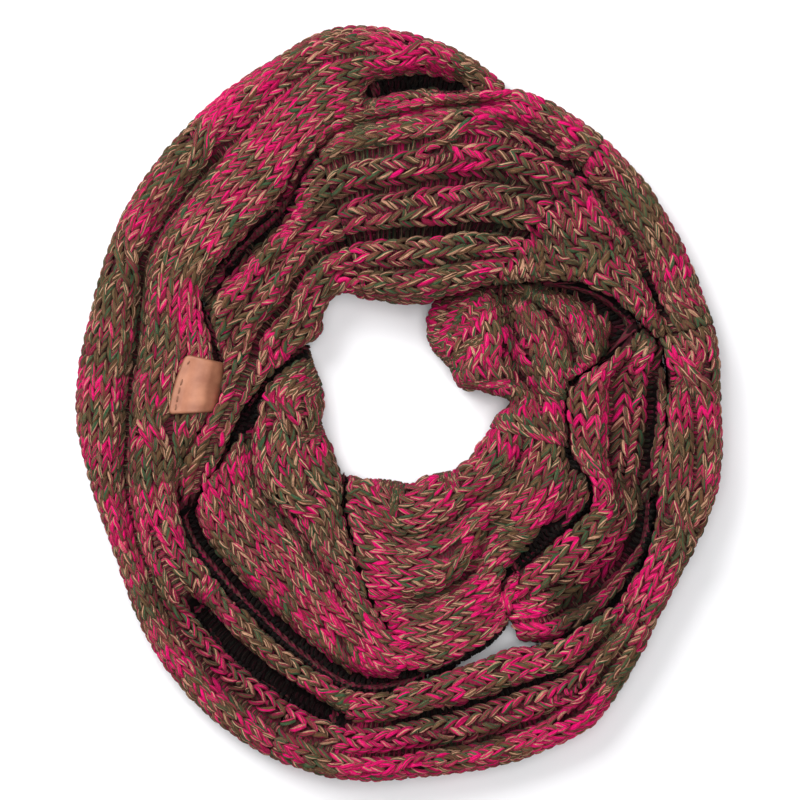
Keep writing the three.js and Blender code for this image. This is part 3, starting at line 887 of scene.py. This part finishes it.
    def clear(self, tips):
        """False for legs that lie inside another stretch, or face its side."""
        tip = tips[:, MIDDLE_RING]
        r = np.hypot(tip[:, 0] - MIDDLE_X, tip[:, 1] - MIDDLE_Y)
        at = np.degrees(np.arctan2(tip[:, 1] - MIDDLE_Y, tip[:, 0] - MIDDLE_X)) % 360
        keep = np.ones(len(tip), bool)
        for other in STRETCHES:
            if other.name == self.surface.stretch.name:
                continue
            same_turn = other.turn == self.surface.stretch.turn
            after = abs(other.start - self.surface.stretch.end) < 1
            before = abs(other.end - self.surface.stretch.start) < 1
            if same_turn and (after or before):
                continue
            inside, low, high_side, high = neighbour_limit(other.name, at, tip[:, 2][:, None])
            hit = inside & (r > low[:, 0]) & (r < high_side[:, 0]) & (tip[:, 2] < high[:, 0] * 0.97)
            keep &= ~hit
        return keep

    def build(self, name, split=None):
        """Meshes of the collected legs. With split, two of them: before and after that angle."""
        data = {key: np.concatenate([block[key] for block in self.blocks]) for key in self.blocks[0]}
        if split is None:
            return [self.mesh(name + "_stitches", data)]
        first = data["centre"][:, MIDDLE_RING]
        at = np.degrees(np.arctan2(first[:, 1] - MIDDLE_Y, first[:, 0] - MIDDLE_X)) % 360
        before = {key: value[at < split] for key, value in data.items()}
        after = {key: value[at >= split] for key, value in data.items()}
        return [self.mesh(name + "_stitches_a", before), self.mesh(name + "_stitches_b", after)]

    def mesh(self, name, data):
        centre = data["centre"]
        count, rings = centre.shape[:2]
        tangent = unit(np.gradient(centre, axis=1))
        across = unit(np.cross(tangent, data["normal"]))
        lifted = np.cross(across, tangent)
        turn = np.arange(SIDES) / SIDES * 2 * math.pi
        ring_a = across[:, :, None, :] * np.cos(turn)[None, None, :, None]
        ring_b = lifted[:, :, None, :] * np.sin(turn)[None, None, :, None]
        thick = data["thick"][:, :, None, None]
        points = centre[:, :, None, :] + (ring_a * 1.08 + ring_b * 0.92) * thick
        quad = grid_faces(rings, SIDES, True, flip=True)
        start = np.arange(SIDES)
        end = (rings - 1) * SIDES + np.arange(SIDES)[::-1]
        pattern = np.concatenate([quad.ravel(), start, end])
        size = np.concatenate([np.full(len(quad), 4), [SIDES, SIDES]])
        offsets = np.arange(count) * rings * SIDES
        faces = (offsets[:, None] + pattern[None, :]).ravel()
        sizes = np.tile(size, count)
        i = np.arange(rings - 1)[:, None]
        j = np.arange(SIDES)[None, :]
        i, j = np.broadcast_arrays(i, j)
        u = np.stack([i, i + 1, i + 1, i], axis=2)[:, :, ::-1] / (rings - 1)
        v = np.stack([j, j, j + 1, j + 1], axis=2)[:, :, ::-1] / SIDES
        uv_leg = np.stack([u, v], axis=3).reshape(-1, 2)
        near_cap = np.stack([np.zeros(SIDES), start / SIDES], 1)
        far_cap = np.stack([np.ones(SIDES), start / SIDES], 1)
        caps = np.concatenate([near_cap, far_cap])
        uv = np.tile(np.concatenate([uv_leg, caps]), (count, 1))
        band = lattice_noise(data["travel"] / BAND_LONG, data["across"] / BAND_WIDE, 11)
        patch = lattice_noise(data["travel"] / PATCH_LONG, data["across"] / PATCH_WIDE, 12)
        loose = self.random.normal(0, 0.1, count)
        pink = np.clip((band * 0.65 + patch * 0.35 - 0.5) * 2.0 + 0.42 + loose, 0, 1)
        # Red and green are random, blue is pinkness and alpha is painted shade.
        tone = np.stack([self.random.random(count), self.random.random(count), pink, data["shade"]], axis=1)
        tone = np.repeat(tone, rings * SIDES, axis=0)
        return new_mesh(name, points.reshape(-1, 3), faces, sizes, uv, "yarn", tone)


def lane_layout(surface, lanes):
    """Lanes of one part of a stretch as (centre, width) at each angle, and its gutters' places."""
    folds = {fold.name: fold for fold in TURNS[surface.stretch.turn][1]}
    places = []
    for name, gutter in lanes.guides:
        across = fold_place(folds[name], surface.angles, 0.35)
        places.append((surface.along_at(across), gutter))
    columns = []
    place, gutter = places[0]
    limit = place.max()
    k = 0
    while (k + 0.5) * lanes.outer_pitch < limit:
        centre = place - gutter / 2 - (k + 0.5) * lanes.outer_pitch
        columns.append((centre, np.full(len(place), float(lanes.outer_pitch))))
        k += 1
    for number, count in enumerate(lanes.counts):
        near, near_gutter = places[number]
        far, far_gutter = places[number + 1]
        start = near + near_gutter / 2
        width = (far - far_gutter / 2 - start) / count
        for k in range(count):
            columns.append((start + width * (k + 0.5), width))
    place, gutter = places[-1]
    limit = (surface.length - place).max()
    k = 0
    while (k + 0.5) * lanes.inner_pitch < limit:
        centre = place + gutter / 2 + (k + 0.5) * lanes.inner_pitch
        columns.append((centre, np.full(len(place), float(lanes.inner_pitch))))
        k += 1
    return columns, places


def crossings(surface, lanes, columns):
    """Cables: the lanes that swap places there, as (lanes, start, end)."""
    found = []
    for cable in TURNS[surface.stretch.turn][2]:
        if not lanes.start <= cable.at <= lanes.end:
            continue
        i = int(np.interp(cable.at, surface.angles, np.arange(len(surface.angles))))
        inner, outer, _, _ = section_of(surface.stretch.turn, np.array([float(cable.at)]))
        radius = inner[0] + cable.across * (outer[0] - inner[0])
        where = surface.along_at(np.full(len(surface.angles), cable.across))[i]
        distance = [abs(centre[i] - where) for centre, _ in columns]
        order = np.argsort(distance)
        pitch = columns[order[0]][1][i]
        number = max(2, int(round(cable.wide / pitch / 2)) * 2)
        group = sorted(order[:number], key=lambda n: columns[n][0][i])
        half = math.degrees(cable.long / 2 / radius)
        found.append((group, max(cable.at - half, lanes.start), min(cable.at + half, lanes.end)))
    return sorted(found, key=lambda cable: cable[1])


def stitch_up(surface, seed):
    """All the stitches of a stretch: its wales, its cables and its purl gutters."""
    stitches = Stitches(surface, seed)
    angles = surface.angles
    for lanes in LANES[surface.stretch.name]:
        ends = (lanes.start, lanes.end)
        columns, gutters = lane_layout(surface, lanes)
        cables = crossings(surface, lanes, columns)
        flat = np.zeros(len(angles))
        for n, (centre, width) in enumerate(columns):
            lift = flat.copy()
            lane = n
            for group, start, end in cables:
                if lane not in group:
                    continue
                half = len(group) // 2
                k = group.index(lane)
                other = group[(k + half) % len(group)]
                t = np.clip((angles - start) / (end - start), 0, 1)
                ease = t * t * (3 - 2 * t)
                middle = bump(2 * t - 1)
                centre = centre * (1 - ease) + columns[other][0] * ease
                width = (width * (1 - ease) + columns[other][1] * ease) * (1 - CABLE_NARROW * middle)
                lift += (CABLE_OVER if k < half else CABLE_UNDER) * middle
                lane = other
            radius = LEG_THICK if np.median(width) < 8 else RIB_THICK
            for side in (-1, 1):
                stitches.add(centre, width, lift, LEG_RINGS, side, radius, *ends, ROW_PITCH)
        for place, gutter in gutters:
            width = np.full(len(angles), max(gutter, 2.4) + 1.6)
            deep = flat - BAR_DROP
            stitches.add(place, width, deep, BAR_RINGS, 1, BAR_THICK, *ends, ROW_PITCH / 2, BAR_SHADE)
    stitches.fill()
    return stitches


# The leather tab, in the outer turn's measures, as in the part's source.
Tab = namedtuple("Tab", "start end sewn_start sewn_end thick clear")
TAB = Tab(167.3, 183.2, 130, 138, 1.6, 0.6)
TAB_GRID = 36
TAB_CORNER = 0.16
# Its cut, in metres, along the band and across it.
TAB_LONG = 0.034
TAB_WIDE = 0.031
# Its rims are rounded over so many millimetres.
TAB_RIM = 0.9


def tab_surface(along, across, lift):
    """Points on the tab: along the turn and across from the side to the sewn edge, both from 0 to 1."""
    angles = TAB.start + (TAB.end - TAB.start) * along
    inner, outer, high, _ = section_of("outer", angles)
    sewn = TAB.sewn_start + (TAB.sewn_end - TAB.sewn_start) * along
    start = inner + SHOULDER
    radii = [inner + SIDE[4].back, inner + SIDE[5].back]
    heights = [SIDE[4].up * high, SIDE[5].up * high]
    for k in range(9):
        r = start + (sewn - start) * k / 8
        radii.append(r)
        heights.append(top_height("outer", angles, ((r - inner) / (outer - inner))[:, None])[:, 0])
    path = smooth_side(np.stack([np.stack(radii, 1), np.stack(heights, 1)], axis=2), 6)
    steps = np.linalg.norm(np.diff(path, axis=1), axis=2)
    travel = np.concatenate([np.zeros((len(path), 1)), np.cumsum(steps, axis=1)], axis=1)
    slope = unit(np.gradient(path, axis=1))
    found = []
    for k in range(len(path)):
        at = across[k] * travel[k, -1]
        r = np.interp(at, travel[k], path[k, :, 0]) - np.interp(at, travel[k], slope[k, :, 1]) * lift[k]
        z = np.interp(at, travel[k], path[k, :, 1]) + np.interp(at, travel[k], slope[k, :, 0]) * lift[k]
        turn = math.radians(angles[k])
        found.append((MIDDLE_X + r * math.cos(turn), MIDDLE_Y + r * math.sin(turn), z))
    return np.array(found)


def leather_tab():
    """The tab as one rounded strip."""
    share = np.linspace(-1, 1, TAB_GRID)
    a, b = (v.ravel() for v in np.meshgrid(share, share, indexing="ij"))
    inset = 1 - TAB_CORNER
    da = np.maximum(np.abs(a) - inset, 0)
    db = np.maximum(np.abs(b) - inset, 0)
    pull = np.maximum(da, db) / np.maximum(np.hypot(da, db), 1e-9)
    corner = (da > 0) & (db > 0)
    a = np.where(corner, np.sign(a) * (inset + da * pull), a)
    b = np.where(corner, np.sign(b) * (inset + db * pull), b)
    ring = np.maximum(np.abs(np.repeat(share, TAB_GRID)), np.abs(np.tile(share, TAB_GRID)))
    rim = np.clip((1 - ring) * 16 / TAB_RIM, 0, 1)
    full = np.sqrt(1 - (1 - rim) ** 2)
    middle = TAB.clear + TAB.thick / 2
    along = (a + 1) / 2
    across = (b + 1) / 2
    over = tab_surface(along, across, middle + full * TAB.thick / 2)
    under = tab_surface(along, across, middle - full * TAB.thick / 2)
    upper = grid_faces(TAB_GRID, TAB_GRID, False)
    lower = grid_faces(TAB_GRID, TAB_GRID, False, TAB_GRID**2, flip=True)
    index = np.arange(TAB_GRID**2).reshape(TAB_GRID, TAB_GRID)
    edge = np.concatenate([index[0, :-1], index[:-1, -1], index[-1, :0:-1], index[:0:-1, 0]])
    merged = np.arange(2 * TAB_GRID**2)
    merged[TAB_GRID**2 + edge] = edge
    quads = merged[np.concatenate([upper, lower])]
    used, faces = np.unique(quads, return_inverse=True)
    points = np.concatenate([over, under])[used]
    flat = np.stack([along * TAB_LONG, across * TAB_WIDE], axis=1)
    uv = np.concatenate([flat, flat])[quads.ravel()]
    # Darker towards the tab's rims.
    rim_darkening = 0.7 + 0.3 * np.clip((1 - ring) * 9, 0, 1)
    shades = np.concatenate([rim_darkening, rim_darkening])[used]
    tone = np.stack([shades, shades, shades, np.ones(len(shades))], axis=1)
    return new_mesh("leather_tab_strap", points, faces.ravel(), np.full(len(quads), 4), uv, "hide", tone)


# Rows of the tab's stitches: from one place to another, along and across it from 0 to 1.
Thread = namedtuple("Thread", "start_along start_across end_along end_across")
THREADS = [
    Thread(0.1, 0.86, 0.16, 0.9),
    Thread(0.42, 0.9, 0.52, 0.9),
    Thread(0.56, 0.9, 0.66, 0.9),
    Thread(0.7, 0.9, 0.8, 0.9),
    Thread(0.84, 0.9, 0.93, 0.9),
]


def tab_thread():
    """Short round stitches that dip into the leather at both ends."""
    share = np.linspace(0, 1, 9)
    points = []
    faces = []
    for thread in THREADS:
        along = thread.start_along + (thread.end_along - thread.start_along) * share
        across = thread.start_across + (thread.end_across - thread.start_across) * share
        lift = TAB.clear + TAB.thick - 0.35 + 0.75 * np.sin(share * math.pi) ** 0.5
        line = tab_surface(along, across, lift)
        way = unit(np.gradient(line, axis=0))
        beside = unit(np.cross(way, (0.0, 0.0, 1.0)))
        above = np.cross(beside, way)
        turn = np.arange(8) / 8 * 2 * math.pi
        ring = beside[:, None] * np.cos(turn)[None, :, None] + above[:, None] * np.sin(turn)[None, :, None]
        offset = sum(len(block) for block in points)
        points.append((line[:, None] + ring * 0.42).reshape(-1, 3))
        faces.append(grid_faces(9, 8, True, offset, flip=True))
    quads = np.concatenate(faces)
    uv = np.tile([(0, 0), (0, 1), (1, 1), (1, 0)], (len(quads), 1)).astype(float)
    sizes = np.full(len(quads), 4)
    return new_mesh("leather_tab_thread", np.concatenate(points), quads.ravel(), sizes, uv, "thread")


def link(tree, start, end):
    tree.links.new(start, end)


def add_node(tree, kind, **settings):
    node = tree.nodes.new(kind)
    for key, value in settings.items():
        setattr(node, key, value)
    return node


def math_node(tree, operation, first, second=None, third=None):
    node = add_node(tree, "ShaderNodeMath", operation=operation)
    for socket, value in zip(node.inputs, (first, second, third)):
        if value is None:
            continue
        if isinstance(value, (int, float)):
            socket.default_value = value
        else:
            link(tree, value, socket)
    return node.outputs[0]


def new_material(name):
    """A material, its nodes and its shader."""
    material = bpy.data.materials.new(name)
    material.use_nodes = True
    return material, material.node_tree, material.node_tree.nodes["Principled BSDF"]


def add_noise(tree, scale, detail, vector):
    node = add_node(tree, "ShaderNodeTexNoise")
    node.inputs["Scale"].default_value = scale
    node.inputs["Detail"].default_value = detail
    link(tree, vector, node.inputs["Vector"])
    return node.outputs["Fac"]


def colour_ramp(tree, value, stops, interpolation="LINEAR"):
    """Colours along a scale, from stops of (position, colour)."""
    node = add_node(tree, "ShaderNodeValToRGB")
    ramp = node.color_ramp
    ramp.interpolation = interpolation
    while len(ramp.elements) < len(stops):
        ramp.elements.new(0.5)
    for element, (position, colour) in zip(ramp.elements, stops):
        element.position = position
        element.color = colour
    link(tree, value, node.inputs[0])
    return node.outputs["Color"]


def shaded(tree, colour, shade, shader):
    """The shader's colour: a colour multiplied by a shade."""
    node = add_node(tree, "ShaderNodeMix", data_type="RGBA", blend_type="MULTIPLY")
    node.inputs[0].default_value = 1.0
    link(tree, colour, node.inputs[6])
    link(tree, shade, node.inputs[7])
    link(tree, node.outputs[2], shader.inputs["Base Color"])


def add_relief(tree, height, strength, distance, shader):
    node = add_node(tree, "ShaderNodeBump")
    node.inputs["Strength"].default_value = strength
    node.inputs["Distance"].default_value = distance
    link(tree, height, node.inputs["Height"])
    link(tree, node.outputs[0], shader.inputs["Normal"])


def srgb(red, green, blue):
    """A colour given as on screen, from 0 to 255, in the linear values that shaders use."""

    def linear(c):
        c = c / 255
        return c / 12.92 if c <= 0.04045 else ((c + 0.055) / 1.055) ** 2.4

    return (linear(red), linear(green), linear(blue), 1)


# Where each dyed colour begins on the scale that a ply's colour is drawn from, pinkest first.
Dye = namedtuple("Dye", "start colour")
DYES = [
    Dye(0.0, srgb(255, 12, 124)),
    Dye(0.17, srgb(236, 10, 108)),
    Dye(0.29, srgb(170, 18, 74)),
    Dye(0.37, srgb(214, 162, 132)),
    Dye(0.42, srgb(112, 80, 54)),
    Dye(0.56, srgb(150, 16, 66)),
    Dye(0.61, srgb(62, 96, 64)),
    Dye(0.73, srgb(204, 152, 122)),
    Dye(0.77, srgb(84, 58, 42)),
    Dye(0.89, srgb(108, 88, 60)),
]
# How far a leg that isn't pink leans towards the browns and greens.
LEAN = 0.66
PLIES = 14


def yarn_material():
    """Marled yarn: thin plies laid side by side, each of its own colour, with fine fibres along them."""
    material, tree, shader = new_material("marled_yarn")
    uv = add_node(tree, "ShaderNodeUVMap", uv_map="yarn")
    place = add_node(tree, "ShaderNodeSeparateXYZ")
    link(tree, uv.outputs[0], place.inputs[0])
    tone = add_node(tree, "ShaderNodeAttribute", attribute_name="tone")
    parts = add_node(tree, "ShaderNodeSeparateColor")
    link(tree, tone.outputs["Color"], parts.inputs[0])
    # Fibres: noise that is long along the yarn and narrow round it.
    fibre_at = add_node(tree, "ShaderNodeCombineXYZ")
    link(tree, math_node(tree, "MULTIPLY", place.outputs["X"], 7.0), fibre_at.inputs["X"])
    link(tree, math_node(tree, "MULTIPLY", place.outputs["Y"], 40.0), fibre_at.inputs["Y"])
    link(tree, math_node(tree, "MULTIPLY", parts.outputs["Green"], 97.0), fibre_at.inputs["Z"])
    fibres = add_noise(tree, 1.0, 2.0, fibre_at.outputs[0])
    # Which ply this is, and how far across it.
    wobble = math_node(tree, "MULTIPLY_ADD", fibres, 0.9, -0.45)
    twisted = math_node(tree, "MULTIPLY_ADD", place.outputs["X"], 0.3, place.outputs["Y"])
    shifted = math_node(tree, "ADD", twisted, parts.outputs["Red"])
    counted = math_node(tree, "MULTIPLY_ADD", shifted, float(PLIES), wobble)
    whole = math_node(tree, "FLOOR", counted)
    across = math_node(tree, "FRACT", counted)
    number = math_node(tree, "FLOORED_MODULO", whole, float(PLIES))
    drawn_at = add_node(tree, "ShaderNodeCombineXYZ")
    link(tree, math_node(tree, "ADD", number, 0.5), drawn_at.inputs["X"])
    link(tree, math_node(tree, "MULTIPLY", parts.outputs["Green"], 913.0), drawn_at.inputs["Y"])
    drawn = add_node(tree, "ShaderNodeTexWhiteNoise", noise_dimensions="2D")
    link(tree, drawn_at.outputs[0], drawn.inputs["Vector"])
    leaning = math_node(tree, "MULTIPLY_ADD", parts.outputs["Blue"], -LEAN, LEAN)
    scale = math_node(tree, "DIVIDE", math_node(tree, "ADD", drawn.outputs["Value"], leaning), 1 + LEAN)
    dyed = colour_ramp(tree, scale, DYES, "CONSTANT")
    # Painted shade between the plies, uneven tone along the fibres, and the painted valley shade from the
    # tone's alpha.
    off_middle = math_node(tree, "ABSOLUTE", math_node(tree, "MULTIPLY_ADD", across, 2.0, -1.0))
    rounded = math_node(tree, "SUBTRACT", 1.0, math_node(tree, "POWER", off_middle, 2.0))
    groove_shade = math_node(tree, "MULTIPLY_ADD", math_node(tree, "POWER", off_middle, 4.0), -0.5, 1.05)
    streak = math_node(tree, "MULTIPLY_ADD", fibres, 1.3, 0.25)
    shade = math_node(tree, "MULTIPLY", math_node(tree, "MULTIPLY", groove_shade, streak), tone.outputs["Alpha"])
    grey = add_node(tree, "ShaderNodeCombineColor")
    for name in ("Red", "Green", "Blue"):
        link(tree, shade, grey.inputs[name])
    shaded(tree, dyed, grey.outputs[0], shader)
    height = math_node(tree, "MULTIPLY_ADD", fibres, 0.8, rounded)
    add_relief(tree, height, 0.9, 0.0005, shader)
    shader.inputs["Roughness"].default_value = 0.92
    shader.inputs["Specular IOR Level"].default_value = 0.06
    shader.inputs["Sheen Weight"].default_value = 0.04
    shader.inputs["Sheen Roughness"].default_value = 0.5
    return material


def leather_material():
    """Plain tan leather: a fine grain, soft cloudy tone and darker rims."""
    material, tree, shader = new_material("tan_leather")
    uv = add_node(tree, "ShaderNodeUVMap", uv_map="hide")
    tone = add_node(tree, "ShaderNodeAttribute", attribute_name="tone")
    clouds = add_noise(tree, 90.0, 4.0, uv.outputs[0])
    tan = colour_ramp(tree, clouds, [(0.3, srgb(146, 90, 66)), (0.7, srgb(184, 124, 94))])
    shaded(tree, tan, tone.outputs["Color"], shader)
    grain = add_node(tree, "ShaderNodeTexVoronoi", feature="DISTANCE_TO_EDGE")
    grain.inputs["Scale"].default_value = 1300.0
    link(tree, uv.outputs[0], grain.inputs["Vector"])
    add_relief(tree, math_node(tree, "ADD", grain.outputs[0], clouds), 0.35, 0.0003, shader)
    shader.inputs["Roughness"].default_value = 0.55
    return material


def thread_material():
    material, tree, shader = new_material("tan_thread")
    twist = add_node(tree, "ShaderNodeTexWave")
    twist.inputs["Scale"].default_value = 700.0
    tan = colour_ramp(tree, twist.outputs["Fac"], [(0, srgb(104, 66, 48)), (1, srgb(150, 104, 78))])
    link(tree, tan, shader.inputs["Base Color"])
    shader.inputs["Roughness"].default_value = 0.8
    return material


def backing_material():
    """The knit's reverse, seen between the stitches and on the underside: rows of purl bumps, in the yarn's
    colours darkened as painted shade.
    """
    material, tree, shader = new_material("knit_reverse_painted_shade")
    uv = add_node(tree, "ShaderNodeUVMap", uv_map="knit")
    place = add_node(tree, "ShaderNodeSeparateXYZ")
    link(tree, uv.outputs[0], place.inputs[0])
    sway = math_node(tree, "SINE", math_node(tree, "MULTIPLY", place.outputs["X"], 2 * math.pi / 0.007))
    rows = math_node(tree, "MULTIPLY_ADD", place.outputs["Y"], 2 * math.pi / 0.0036, sway)
    bumps = math_node(tree, "SINE", rows)
    noise = add_noise(tree, 320.0, 3.0, uv.outputs[0])
    # The yarn's dyes, darkened as painted shade between the stitches.
    stops = [
        (0.3, srgb(58, 38, 30)),
        (0.47, srgb(104, 16, 46)),
        (0.53, srgb(48, 58, 42)),
        (0.62, srgb(132, 16, 60)),
    ]
    # The tone carries the painted shade of the valleys and of the upright walls.
    tone = add_node(tree, "ShaderNodeAttribute", attribute_name="tone")
    shaded(tree, colour_ramp(tree, noise, stops), tone.outputs["Color"], shader)
    add_relief(tree, math_node(tree, "MULTIPLY_ADD", noise, 0.8, bumps), 0.9, 0.001, shader)
    shader.inputs["Roughness"].default_value = 0.95
    shader.inputs["Specular IOR Level"].default_value = 0.15
    return material


def floor_material():
    material, _, shader = new_material("pale_floor")
    shader.inputs["Base Color"].default_value = (0.9, 0.9, 0.92, 1)
    shader.inputs["Roughness"].default_value = 0.7
    return material


def build_scarf():
    yarn = yarn_material()
    backing = backing_material()
    for number, stretch in enumerate(STRETCHES):
        surface = Surface(stretch)
        cloth, flat = cloth_tube(surface)
        cloth.data.materials.append(backing)
        split = 150 if stretch.name == "outer_left" else None
        pieces = stitch_up(surface, 100 + number).build(stretch.name, split)
        for piece in pieces:
            piece.data.materials.append(yarn)
            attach(piece, "root")
        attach(cloth, "root")
        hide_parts(stretch.name)


def build_tab():
    tab = leather_tab()
    tab.data.materials.append(leather_material())
    thread = tab_thread()
    thread.data.materials.append(thread_material())
    for piece in (tab, thread):
        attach(piece, "root")
    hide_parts("leather_tab")


# Rows of the soft studio lights, and the share of light that comes from all round.
Light = namedtuple("Light", "name place size power")
LIGHTS = [
    Light("key", (-1.0, 1.25, 1.7), 1.3, 58),
    Light("overhead", (0.1, 0.0, 2.7), 1.6, 44),
    Light("fill", (1.5, -1.0, 1.4), 1.4, 10),
]
ALL_ROUND = 0.17


def build_stage():
    bpy.ops.mesh.primitive_plane_add(size=6, location=(0, 0, 0))
    floor = bpy.context.object
    floor.name = "floor"
    floor.data.materials.append(floor_material())
    for light in LIGHTS:
        lamp = bpy.data.lights.new(light.name, "AREA")
        lamp.size = light.size
        lamp.energy = light.power
        thing = bpy.data.objects.new(light.name, lamp)
        thing.location = light.place
        aim = -thing.location
        thing.rotation_euler = aim.to_track_quat("-Z", "Y").to_euler()
        bpy.context.scene.collection.objects.link(thing)
    world = bpy.data.worlds.new("soft_white")
    world.use_nodes = True
    background = world.node_tree.nodes["Background"]
    background.inputs["Color"].default_value = (1, 1, 1, 1)
    background.inputs["Strength"].default_value = ALL_ROUND
    bpy.context.scene.world = world
    bpy.context.scene.view_settings.view_transform = "Standard"


# The camera looks straight down, and the photo's frame is so wide at the level of the cloth's top.
CAMERA_PLACE = (0.0006, 0.0018, 2.4)
SENSOR = 36
FRAME_LEVEL = 0.02
FRAME_WIDE = 0.48


def build_camera():
    camera = bpy.data.cameras.new("camera")
    thing = bpy.data.objects.new("camera", camera)
    thing.location = CAMERA_PLACE
    camera.lens = SENSOR * (CAMERA_PLACE[2] - FRAME_LEVEL) / FRAME_WIDE
    bpy.context.scene.collection.objects.link(thing)
    bpy.context.scene.camera = thing


build_camera()
build_scarf()
build_tab()
build_stage()
